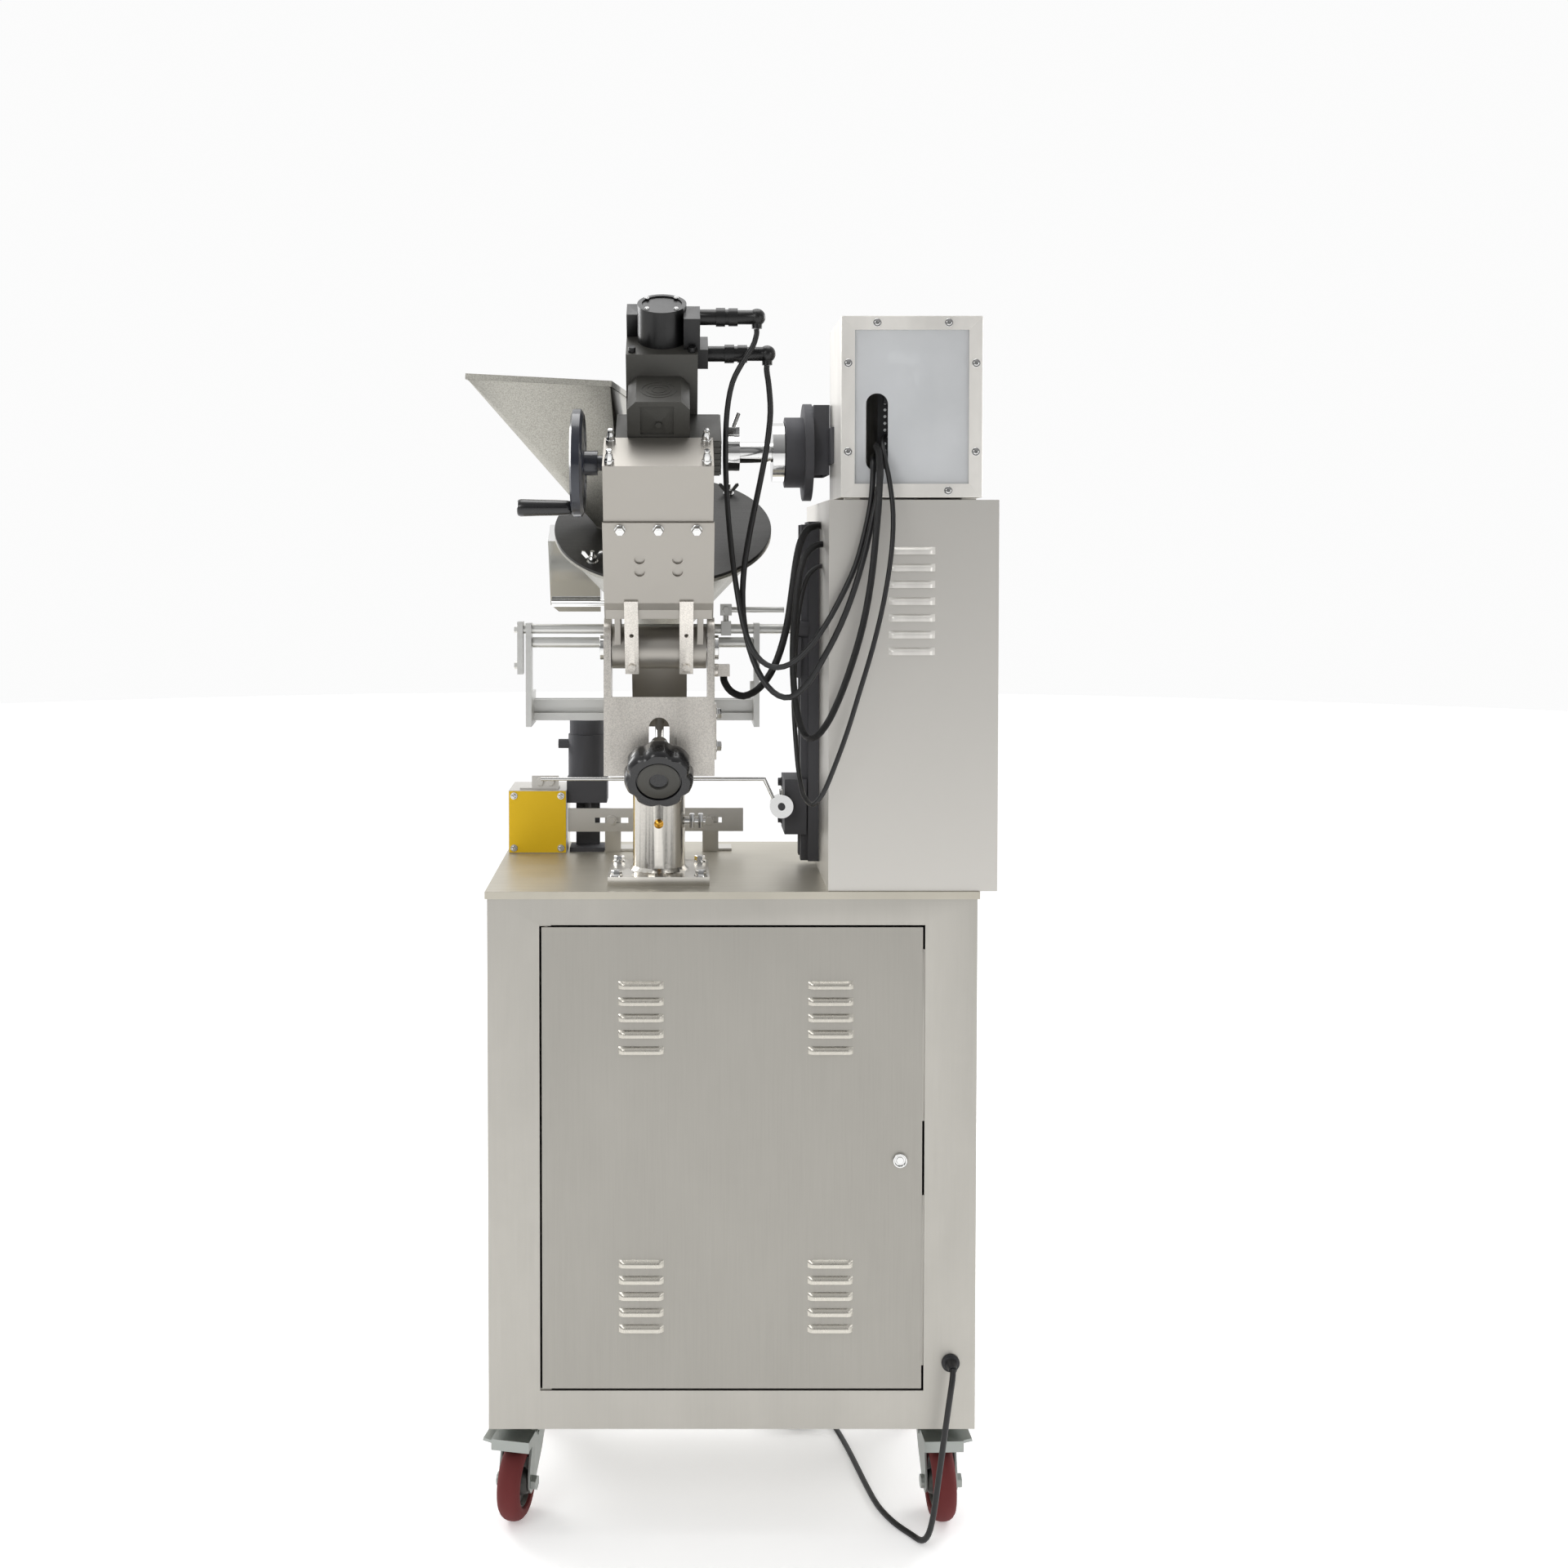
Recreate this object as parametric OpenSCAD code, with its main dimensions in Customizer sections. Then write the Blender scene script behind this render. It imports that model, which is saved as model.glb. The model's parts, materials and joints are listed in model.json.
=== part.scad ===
// Tilting auger powder filler on a wheeled cabinet, millimetres, +Z up, -Y is the service side.

/* [Base cabinet] */
// Width of the base cabinet
base_w = 650; // [560:1:800]
// Depth of the base cabinet
base_d = 394; // [380:1:520]
// Height of the cabinet body
body_h = 713; // [690:1:860]
// Wall of the cabinet sheet
sheet = 3; // [2:0.5:4]
// Width of the service door
door_w = 506; // [420:1:510]
// Height of the service door
door_h = 620; // [520:1:624]
// Gap around each door
door_gap = 3; // [2:0.5:4]
// Thickness of the table top's folded edge
top_t = 10; // [8:1:16]

/* [Casters] */
// Diameter of each wheel
wheel_d = 100; // [84:1:104]
// Width of each wheel
wheel_w = 32; // [26:1:34]
// Height of a caster, floor to plate top
caster_h = 139; // [134:1:150]
// Distance from the swivel axis to the wheel axle
trail = 35; // [28:1:38]

/* [Column and tilt bracket] */
// Side of the square column flange
flange_w = 137; // [130:1:160]
// Outer diameter of the column
column_d = 72; // [64:1:80]
// Height of the column above the table
column_h = 133; // [120:1:138]
// Outer width of the tilt bracket
bracket_w = 151; // [148:1:158]
// Thickness of the bracket's ears
ear_t = 10; // [8:1:11]
// Diameter of the pivot pin
pin_d = 24; // [18:1:30]

/* [Tilting head] */
// Tilt of the head towards the service side
tilt = 30; // [26:1:34]
// Width of the head casing
head_w = 143; // [138:1:150]
// Diameter of the crank wheel
crank_d = 140; // [110:1:144]
// Diameter of the tilt knob
knob_d = 93; // [80:1:100]
// Diameter of the servo motor's body
motor_d = 66; // [56:1:76]

/* [Funnel and hopper] */
// Radius of the funnel lid
lid_r = 156; // [150:1:160]
// Wall of the funnel and hopper sheet
funnel_t = 2; // [1.5:0.5:3]
// Bore of the outlet neck
neck_bore = 60; // [56:1:64]
// Diameter of the auger screw
auger_d = 50; // [36:1:54]

/* [Film reel] */
// Diameter of the reel shaft
reel_d = 30; // [24:1:36]
// Radius of the reel brake disc
disc_r = 69; // [60:1:78]

/* [Upper cabinet] */
// Width of the upper cabinet
upper_w = 224; // [210:1:250]
// Height of the upper cabinet
upper_h = 518; // [500:1:620]
// Width of the control box
box_w = 186; // [180:1:196]
// Height of the control box
box_h = 238; // [230:1:290]
// Depth of the control box
box_d = 170; // [160:1:210]

/* [Hidden] */
$fn = 64;

run = 0.05;                          // radial running clearance of shafts in their bores
slip = 0.5;                          // gap between pieces that pass each other
base_near = -148;                    // near face of the cabinets
base_z = 147;                        // underside of the base cabinet
pad_t = base_z - caster_h;           // corner pads over the casters
table_z = base_z + body_h + top_t;
door_z = base_z + 55;                // underside of the service door
lock_in = 29.5;                      // cam lock from the door's free edge
lock_x = door_w / 2 - lock_in;
kingpin_x = base_w / 2 - 40;
kingpin_y = 85;
axle_z = wheel_d / 2;
axle_d = 12;
column_x = -98;
column_y = 105;
column_top = table_z + column_h;
post_d = 56;                         // inner post of the bracket, clamped in the column
bracket_y = 70;
bracket_z = column_top + 11;
pivot_y = 100;
pivot_z = table_z + 318;
stud_z = -105;                       // clamp stud below the pivot, head frame
stud_d = 12;
casing_front = -30;
casing_back = 52;
casing_low = 65;
casing_top = 295;
crank_y = 10;
crank_z = 279;
auger_x = 4;
auger_y = 186;
lid_z = 86.5;
cone_top_r = 148;
cone_foot_z = -86;
neck_r = neck_bore / 2 + funnel_t;
neck_foot_z = -150;
gear_back = 26;                      // cone distance of the auger's bevel gears
crank_gear = 12;                     // cone distance of the crank's bevel gears
upper_x = base_w / 2 + 26 - upper_w;
upper_z = table_z;
box_x = upper_x + 15.4;
box_z = upper_z + upper_h + 3;
reel_y = 200;
reel_z = table_z + 591;
rods_y = 165;
rod_z = table_z + 340.7;
roller_z = table_z + 321.6;
roller_d = 15;
lead_d = 8;
coil_r = 44;
coil_x = 110;
coil_y = 340;

// Cable routes, from the exit to the far end, measured from the cabinets' near face.
mains_route = [[292, -22, 237], [290, -30, 228], [286, -34, 205], [281, -35, 170], [276, -34, 130],
    [271, -33, 90], [266, -31, 50], [260, -27, 20], [252, -18, 6], [240, 0, 4], [220, 30, 4],
    [204, 70, 4], [194, 120, 4], [186, 170, 4], [178, 220, 4], [170, 262, 4], [162, 300, 4],
    [158, 340, 4]];
tail_route = [[110, 388, 20], [90, 390, 19], [70, 394, 15], [50, 397, 11], [32, 397, 10], [18, 396, 10],
    [6, 396, 10]];
motor_route = [[33, 42, 1616.7], [33, 42, 1610], [28, 42, 1594], [14, 44, 1572], [1, 47, 1546], [-6, 50, 1508],
    [-8, 52, 1460], [-7, 52, 1410], [-3, 51, 1355], [2, 46, 1305], [9, 34, 1255], [18, 21, 1212],
    [32, 8, 1182], [52, -4, 1168], [75, -11, 1172], [98, -15, 1192], [120, -18, 1222], [142, -19, 1262],
    [160, -20, 1302], [172, -19, 1345], [180, -17, 1385], [183, -12, 1416], [184, -4, 1433], [185, 6, 1441],
    [188, 24, 1446], [196, 39.6, 1449]];
encoder_route = [[48, 66, 1571], [48, 66, 1563], [51, 66, 1542], [53, 66, 1508], [49, 66, 1468], [42, 66, 1428],
    [33, 64, 1384], [24, 59, 1340], [17, 53, 1295], [15, 46, 1250], [20, 36, 1205], [34, 22, 1162],
    [54, 8, 1134], [76, -4, 1128], [98, -14, 1147], [118, -21, 1180], [140, -26, 1224], [158, -28, 1272],
    [173, -28, 1325], [184, -25, 1375], [192, -16, 1412], [194, -5, 1430], [195, 6, 1437], [198, 24, 1442],
    [205, 39.6, 1446]];
conduit_route = [[-9, 95, 1149], [-8, 95, 1141], [1, 93, 1128], [18, 88, 1122], [38, 84, 1132],
    [55, 83, 1154], [68, 85, 1184], [78, 90, 1222], [85, 98, 1266], [91, 108, 1306], [98, 118, 1334],
    [108, 126, 1350], [119, 130, 1355], [126.7, 130, 1356]];
drive_route = [[126.7, 96, 1330], [117, 94, 1328], [103, 86, 1316], [94, 76, 1290], [88, 66, 1250], [84, 58, 1204],
    [83, 44, 1156], [86, 28, 1112], [94, 10, 1080], [106, -6, 1074], [122, -17, 1092], [138, -24, 1126],
    [154, -30, 1172], [168, -36, 1224], [178, -38, 1280], [184, -38, 1336], [188, -36, 1384], [190, -28, 1420],
    [191, -12, 1448], [190, 4, 1457], [192, 24, 1460], [200, 39.6, 1461]];
sensor_route = [[126.7, 112, 1300], [118, 110, 1297], [106, 104, 1284], [97, 98, 1254], [91, 94, 1210], [88, 88, 1160],
    [86, 76, 1110], [88, 60, 1060], [91, 42, 1020], [96, 20, 994], [106, -4, 986], [118, -18, 1002],
    [130, -26, 1032], [148, -34, 1084], [164, -42, 1140], [180, -46, 1196], [194, -46, 1256], [204, -42, 1318],
    [207, -34, 1368], [204, -24, 1408], [199, -12, 1440], [197, 0, 1458], [198, 12, 1468], [204, 26, 1474],
    [212, 39.6, 1475]];

hinge_r = 3;                         // pins of both doors

// Places a piece measured from the cabinets' near face.
module at_frame() translate([0, base_near, 0]) children();

// Places a piece drawn in the head's own upright frame, its origin on the pivot axis.
module in_head() at_frame() translate([column_x + 0.5, pivot_y, pivot_z]) rotate([tilt, 0, 0]) children();

// A cylinder along X from x to x + h, a cylinder along Y from y to y + h.
module xcyl(x, y, z, r, h) translate([x, y, z]) rotate([0, 90, 0]) cylinder(r = r, h = h);
module ycyl(x, y, z, r, h) translate([x, y, z]) rotate([-90, 0, 0]) cylinder(r = r, h = h);
module zcyl(x, y, z, r, h) translate([x, y, z]) cylinder(r = r, h = h);

// A hexagon bolt head with its washer, facing along +Z.
module hex_head(af, h, washer_r) {
    cylinder(r = washer_r, h = 1.6);
    translate([0, 0, 1.6]) cylinder(r = af / sqrt(3), h = h, $fn = 6);
}

// A box shell with one open side, the side given by the mouth cut of size and place.
module shell(size, wall, mouth_size, mouth_at) difference() {
    cube(size);
    translate([wall, wall, wall]) cube(size - [2 * wall, 2 * wall, 2 * wall]);
    translate(mouth_at) cube(mouth_size);
}

// Louvre slots through a panel whose face lies in XZ; each has a hood standing on the near side.
module louvre_cuts(x, z, n, w, pitch, t) for (i = [0:n - 1])
    translate([x + 3, -1, z - i * pitch + 2]) cube([w - 6, t + 2, 5]);
module louvre_hoods(x, z, n, w, pitch) for (i = [0:n - 1])
    translate([x, 0, z - i * pitch]) rotate([90, 0, 90])
        linear_extrude(w) polygon([[0, 7], [0, 12], [-2.5, 11], [-5, 7], [-5, 2], [-4, 2], [-4, 6.5], [-3, 7]]);

// Vectors along a route and the rings of a swept tube.
function unit(v) = v / norm(v);
function smooth(p, k) = [for (i = [0:len(p) - 2], s = [0:k - 1])
    let (a = p[max(i - 1, 0)], b = p[i], c = p[i + 1], d = p[min(i + 2, len(p) - 1)], t = s / k)
        0.5 * ((2 * b) + (c - a) * t + (2 * a - 5 * b + 4 * c - d) * t * t + (3 * b - a - 3 * c + d) * t * t * t)];
function path(p, k) = concat(smooth(p, k), [p[len(p) - 1]]);
function heading(q, i) = unit(q[min(i + 1, len(q) - 1)] - q[max(i - 1, 0)]);
function side(h, last) = unit(last - h * (last * h));
function frames(q, i = 0, last = [0.1, 1, 0.2]) = i == len(q) ? [] :
    let (h = heading(q, i), s = side(h, last)) concat([[s, cross(h, s)]], frames(q, i + 1, s));

// A plain round tube swept along a route.
module cord(route, d, k = 3, sides = 8) {
    q = path(route, k);
    f = frames(q);
    rings = [for (i = [0:len(q) - 1], j = [0:sides - 1])
        q[i] + d / 2 * (cos(360 * j / sides) * f[i][0] + sin(360 * j / sides) * f[i][1])];
    skin = [for (i = [0:len(q) - 2], j = [0:sides - 1]) let (a = i * sides, b = (j + 1) % sides)
        [a + j, a + b, a + sides + b, a + sides + j]];
    ends = [[for (j = [sides - 1:-1:0]) j], [for (j = [0:sides - 1]) (len(q) - 1) * sides + j]];
    polyhedron(points = rings, faces = concat(skin, ends));
}

module base_cabinet() color([0.70, 0.69, 0.66]) at_frame() {
    difference() {
        translate([-base_w / 2, 0, base_z]) shell([base_w, base_d, body_h], sheet,
            [door_w + 2 * door_gap, sheet + 2, door_h + 2 * door_gap],
            [base_w / 2 - door_w / 2 - door_gap, -1, door_z - door_gap - base_z]);
        ycyl(base_w / 2 - 33, -1, 237, 7, sheet + 2);
        translate([column_x - 30, column_y - 30, base_z + body_h - sheet - 1]) cube([60, 60, sheet + 2]);
        for (sx = [-1, 1], sy = [-1, 1])
            zcyl(column_x + sx * 57, column_y + sy * 57, base_z + body_h - sheet - 1, 5, sheet + 2);
    }
    for (x = [-base_w / 2, base_w / 2 - 80], y = [40, base_d - 135])
        translate([x, y, caster_h]) cube([80, 95, pad_t]);
    // stop strips beside the opening, clear of the lock's tongue
    for (z = [30, door_h / 2 + 50])
        translate([door_w / 2 - 3, sheet, door_z + z]) cube([20, 14, door_h / 2 - 80]);
    // lugs with the pins the door hangs on
    for (z = [door_z - 11, door_z + door_h + 1])
        translate([-door_w / 2 - 16, sheet, z]) cube([28, 8, 10]);
    zcyl(-door_w / 2 + 6, 6, door_z - 6, hinge_r, 26);
    zcyl(-door_w / 2 + 6, 6, door_z + door_h - 20, hinge_r, 26);
}

module table_top() color([0.72, 0.71, 0.68]) at_frame() difference() {
    translate([-base_w / 2 - 3, -3, table_z - top_t]) cube([base_w + 6, base_d + 6, top_t]);
    translate([-base_w / 2 + 5, 5, table_z - top_t - 1]) cube([base_w - 10, base_d - 10, top_t - 2]);
    zcyl(column_x, column_y, table_z - top_t, 20, top_t + 1);
    for (sx = [-1, 1], sy = [-1, 1])
        zcyl(column_x + sx * 57, column_y + sy * 57, table_z - top_t, 5, top_t + 1);
}

module electrical_panel() color([0.80, 0.80, 0.78]) at_frame() {
    translate([-240, base_d - 40, base_z + 160]) cube([480, 3, 440]);
    for (s = [-1, 1], z = [base_z + 180, base_z + 560])
        ycyl(s * 220, base_d - 37, z, 6, 37 - sheet);
    translate([-200, base_d - 150, base_z + 400]) cube([130, 110, 150]);
    translate([-30, base_d - 115, base_z + 420]) cube([150, 75, 120]);
    translate([-210, base_d - 48, base_z + 305]) cube([420, 8, 35]);
    for (i = [0:7])
        translate([-200 + i * 38, base_d - 118, base_z + 290]) cube([34, 70, 78]);
    translate([-210, base_d - 48, base_z + 210]) cube([420, 8, 35]);
    for (i = [0:23])
        translate([-200 + i * 12, base_d - 90, base_z + 205]) cube([11, 42, 50]);
}

// One caster's top plate with its bolts; the boss carries the swivel pin.
module caster_plate(swivels) {
    translate([-35, -42, -3]) cube([70, 84, 3]);
    difference() {
        translate([0, 0, swivels ? -16.5 : -17]) cylinder(r = 27, h = swivels ? 13.5 : 14);
        if (swivels) translate([0, 0, -18]) cylinder(r = 10 + run, h = 15);
    }
    for (sx = [-1, 1], sy = [-1, 1])
        translate([sx * 27, sy * 34, -3]) mirror([0, 0, 1]) hex_head(10, 5, 8);
}

// Two fork cheeks joined by a bridge, axle at y = -trail below the swivel axis.
module fork() {
    for (s = [-1, 1])
        translate([s * (wheel_w / 2 + 4.5) - 1.5, 0, 0]) rotate([90, 0, 90]) linear_extrude(3)
            polygon([[38, caster_h - 20], [38, caster_h - 30], [12, axle_z + 24], [-trail + 12, axle_z - 8],
                [-trail + 4, axle_z - 13], [-trail - 6, axle_z - 13], [-trail - 13, axle_z - 4],
                [-trail - 12, axle_z + 14], [-30, caster_h - 24], [-26, caster_h - 20]]);
    translate([-wheel_w / 2 - 6, -26, caster_h - 20]) cube([wheel_w + 12, 64, 3]);
    xcyl(-wheel_w / 2 - 11, -trail, axle_z, 9, 5);
    xcyl(-wheel_w / 2 - 6, -trail, axle_z, axle_d / 2, wheel_w + 12);
    translate([wheel_w / 2 + 6, -trail, axle_z]) rotate([0, 90, 0]) cylinder(r = 10, h = 7, $fn = 6);
}

module wheel() difference() {
    rotate([0, 90, 0]) translate([0, 0, -wheel_w / 2]) union() {
        rotate_extrude($fn = 96) polygon([[30, 0], [axle_z - 9, 0], [axle_z - 3, 4], [axle_z, 11],
            [axle_z, wheel_w - 11], [axle_z - 3, wheel_w - 4], [axle_z - 9, wheel_w], [30, wheel_w],
            [28, wheel_w - 8], [17, wheel_w - 8], [15, wheel_w], [8, wheel_w], [8, 0], [15, 0], [17, 8],
            [28, 8]]);
        difference() {
            translate([0, 0, -1.5]) cylinder(r = 14, h = wheel_w + 3);
            translate([0, 0, -3]) cylinder(r = axle_d / 2 + run, h = wheel_w + 6);
        }
    }
    rotate([0, 90, 0]) translate([0, 0, -wheel_w]) cylinder(r = axle_d / 2 + run, h = 2 * wheel_w);
}

// Brake pedal over the front of the wheel, turning on a pin through both cheeks.
module pedal(s) {
    xcyl(-wheel_w / 2 - 12, -20, caster_h - 27, 3, wheel_w + 24);
    for (k = [-1, 1])
        translate([k * (wheel_w / 2 + 8.5) - 2, -64, caster_h - 32]) cube([4, 50, 10]);
    translate([-wheel_w / 2 - 10.5, -66, caster_h - 23]) cube([wheel_w + 21, 34, 4]);
    translate([-wheel_w / 2 - 10.5, -66, caster_h - 34]) cube([wheel_w + 21, 3, 14]);
    translate([s * (wheel_w / 2 + 16) - 7, -64, caster_h - 23]) rotate([0, -s * 12, 0]) cube([14, 34, 4]);
}

module at_caster(s, turn) at_frame() translate([s * kingpin_x, kingpin_y, 0]) rotate([0, 0, turn]) children();
module front_fork(s, turn) color([0.62, 0.64, 0.62]) at_caster(s, turn) {
    difference() {
        fork();
        xcyl(-wheel_w, -20, caster_h - 27, 3 + run, 2 * wheel_w);
    }
    zcyl(0, 0, caster_h - 19, 10, 15.5);
}
module left_fork() front_fork(-1, -12);
module right_fork() front_fork(1, 2);
module left_pedal() color([0.66, 0.67, 0.64]) at_caster(-1, -12) pedal(-1);
module right_pedal() color([0.66, 0.67, 0.64]) at_caster(1, 2) pedal(1);

// The far pair's casters don't swivel; their forks point the other way.
rear_y = base_d - 85;
module caster_mounts() color([0.62, 0.64, 0.62]) for (s = [-1, 1]) {
    at_caster(s, 0) translate([0, 0, caster_h]) caster_plate(true);
    at_frame() translate([s * kingpin_x, rear_y, 0]) rotate([0, 0, 180]) {
        translate([0, 0, caster_h]) caster_plate(false);
        fork();
    }
}
module front_wheel(s, turn) color([0.43, 0.14, 0.14]) at_caster(s, turn) translate([0, -trail, axle_z]) wheel();
module rear_wheel(s) color([0.43, 0.14, 0.14]) at_frame()
    translate([s * kingpin_x, rear_y + trail, axle_z]) wheel();
module front_left_wheel() front_wheel(-1, -12);
module front_right_wheel() front_wheel(1, 2);
module rear_left_wheel() rear_wheel(-1);
module rear_right_wheel() rear_wheel(1);

module mains_gland() color([0.07, 0.07, 0.08]) at_frame() translate([base_w / 2 - 33, 0, 237]) {
    rotate([90, 0, 0]) rotate_extrude() polygon([[0, -sheet - 4], [6.8, -sheet - 4], [6.8, 0], [12, 0], [12, 3],
        [8.5, 4], [7.5, 6], [5.2, 22], [0, 22]]);
    rotate([90, 0, 0]) translate([0, 0, -sheet - 4]) cylinder(r = 9, h = 4);
}
module mains_lead() color([0.05, 0.05, 0.06]) at_frame() {
    cord(mains_route, lead_d);
    cord(tail_route, lead_d);
}
module lead_coil() color([0.05, 0.05, 0.06]) at_frame() translate([coil_x, coil_y, 0])
    rotate_extrude() translate([coil_r - lead_d, 0]) square([2 * lead_d, 3 * lead_d]);
module mains_plug() color([0.06, 0.06, 0.07]) at_frame() translate([6, 396, 0]) {
    translate([-50, -14, 0]) cube([38, 28, 22]);
    translate([-12, 0, 10]) rotate([0, 90, 0]) cylinder(r1 = 9, r2 = 5, h = 12);
    for (s = [-1, 1])
        xcyl(-68, s * 8, 11, 2.4, 18);
}

module upper_cabinet() color([0.84, 0.82, 0.78]) at_frame() {
    difference() {
        translate([upper_x, 0, upper_z]) shell([upper_w, base_d, upper_h], 2,
            [4, base_d - 60 + 2 * door_gap, upper_h - 60 + 2 * door_gap],
            [upper_w - 3, 30 - door_gap, 30 - door_gap]);
        translate([upper_x, 0, 0]) louvre_cuts(79, upper_z + 444, 7, 61, 22.1, 2);
        translate([box_x + 30, 40, upper_z + upper_h - 3]) cube([80, 60, 5]);
    }
    translate([upper_x, 0, 0]) louvre_hoods(79, upper_z + 444, 7, 61, 22.1);
    // lugs with the pins of the side door
    for (z = [upper_z + 19, upper_z + upper_h - 29])
        translate([upper_x + upper_w - 11, base_d - 44, z]) cube([9, 30, 10]);
    zcyl(upper_x + upper_w - 6, base_d - 36, upper_z + 24, hinge_r, 26);
    zcyl(upper_x + upper_w - 6, base_d - 36, upper_z + upper_h - 50, hinge_r, 26);
}

module control_box() color([0.86, 0.85, 0.82]) at_frame() {
    difference() {
        translate([box_x, 0, box_z]) shell([box_w, box_d, box_h], 2, [box_w - 36, 4, box_h - 36], [18, -1, 18]);
        translate([box_x + 30, 40, box_z - 1]) cube([80, 60, 5]);
    }
    for (x = [box_x + 6, box_x + box_w - 26], y = [8, box_d - 28])
        translate([x, y, box_z - 3]) cube([20, 20, 3]);
}
window_slot = [box_x + 47.5, box_z + 85.5];
module window_panel() color([0.80, 0.82, 0.84, 0.6]) at_frame() difference() {
    translate([box_x + 8, 2, box_z + 8]) cube([box_w - 16, 4, box_h - 16]);
    for (s = [-1, 1])
        ycyl(window_slot[0], 1, window_slot[1] + s * 37, 14.5, 6);
    translate([window_slot[0] - 14.5, 1, window_slot[1] - 37]) cube([29, 6, 74]);
    window_screws() ycyl(0, -3, 0, 2.6, 12);
}

// Places of the eight frame screws on the control box.
module window_screws() for (p = [[47, 9], [box_w - 45, 9], [47, box_h - 9], [box_w - 45, box_h - 9],
        [9, 60], [9, box_h - 62], [box_w - 9, 60], [box_w - 9, box_h - 62]])
    translate([box_x + p[0], 0, box_z + p[1]]) children();

module frame_fasteners() color([0.80, 0.80, 0.78]) at_frame() {
    window_screws() rotate([90, 0, 0]) {
        cylinder(r = 5.5, h = 1.2);
        translate([0, 0, 1.2]) difference() {
            cylinder(r = 3.6, h = 2.6);
            translate([0, 0, 1]) cylinder(r = 1.7, h = 3, $fn = 6);
        }
    }
    for (sx = [-1, 1], sy = [-1, 1])
        translate([column_x + sx * 57, column_y + sy * 57, table_z + 12]) {
            hex_head(13, 6, 9);
            translate([0, 0, -30]) cylinder(r = 4, h = 30);
        }
    // lock screw and its two nuts on the column
    xcyl(column_x + column_d / 2 - 8 + 0.3, column_y, table_z + 78, 5, 36);
    for (x = [6, 18])
        translate([column_x + column_d / 2 + x, column_y, table_z + 78]) rotate([0, 90, 0])
            cylinder(r = 10, h = 7, $fn = 6);
    // bolts of the bracket's right ear
    for (z = [column_top + 48, column_top + 93])
        translate([column_x + bracket_w / 2 + 3.5, 110, z]) rotate([0, 90, 0]) hex_head(13, 6, 8);
    // reel bracket bolts
    for (y = [165, 235])
        translate([box_x - 4, y, reel_z + 14]) rotate([0, -90, 0]) hex_head(10, 4, 7);
}

module servo_drive() color([0.16, 0.17, 0.18]) at_frame() translate([box_x + 52, 40, box_z + 30]) {
    cube([66, 122, 168]);
    translate([66, 30, 10]) cube([16, 80, 150]);
    translate([8, -6, 96]) cube([40, 6, 44]);
    for (i = [0:4])
        translate([8 + i * 11, -8, 2]) cube([9, 8, 15]);
    translate([10, 122, 20]) cube([46, box_d - 2 - 40 - 122, 20]);
}

module column() color([0.72, 0.71, 0.68]) at_frame() translate([column_x, column_y, table_z]) difference() {
    union() {
        translate([-flange_w / 2, -flange_w / 2, 0]) cube([flange_w, flange_w, 12]);
        cylinder(r = column_d / 2, h = column_h);
        translate([0, 0, 12]) cylinder(r1 = column_d / 2 + 5, r2 = column_d / 2, h = 5);
        ycyl(0, -column_d / 2 - 5, 80, 6, 8);
    }
    translate([0, 0, -1]) cylinder(r = post_d / 2 + 0.2, h = column_h + 2);
    for (sx = [-1, 1], sy = [-1, 1])
        zcyl(sx * 57, sy * 57, -1, 4.5, 14);
    xcyl(10, 0, 78, 5.3, 40);
}

module tilt_bracket() color([0.75, 0.74, 0.71]) at_frame() {
    left = column_x + 0.5 - bracket_w / 2;
    difference() {
        union() {
            translate([left, bracket_y, bracket_z]) cube([bracket_w, 6, 108]);
            for (x = [left, left + bracket_w - ear_t]) {
                translate([x, bracket_y, bracket_z]) cube([ear_t, 60, pivot_z + 11 - bracket_z]);
                xcyl(x, pivot_y, pivot_z + 11, 30, ear_t);
            }
            translate([left, bracket_y, bracket_z]) cube([bracket_w, 70, 12]);
        }
        translate([column_x + 0.5 - 14, bracket_y - 1, bracket_z + 28]) cube([28, 8, 38]);
        for (z = [28, 66])
            ycyl(column_x + 0.5, bracket_y - 1, bracket_z + z, 14, 8);
        xcyl(left - 1, pivot_y, pivot_z, pin_d / 2, bracket_w + 2);
    }
    zcyl(column_x, column_y, table_z + 30, post_d / 2, bracket_z - table_z - 30);
    // plate and gland on the right ear
    translate([left + bracket_w, 92, bracket_z + 20]) cube([3, 36, 76]);
    translate([left + bracket_w, 95, pivot_z - 31]) rotate([0, 90, 0]) cylinder(r = 9, h = 5);
    translate([left + bracket_w + 5, 85, pivot_z - 39]) cube([16, 20, 16]);
}

module pivot_pin() color([0.62, 0.61, 0.58]) at_frame() {
    half = bracket_w / 2 + 6;
    xcyl(column_x + 0.5 - half, pivot_y, pivot_z, pin_d / 2, 2 * half);
    for (s = [-1, 1])
        xcyl(column_x + 0.5 + s * (half - 3) - 3, pivot_y, pivot_z, pin_d / 2 + 5, 6);
}

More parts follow.
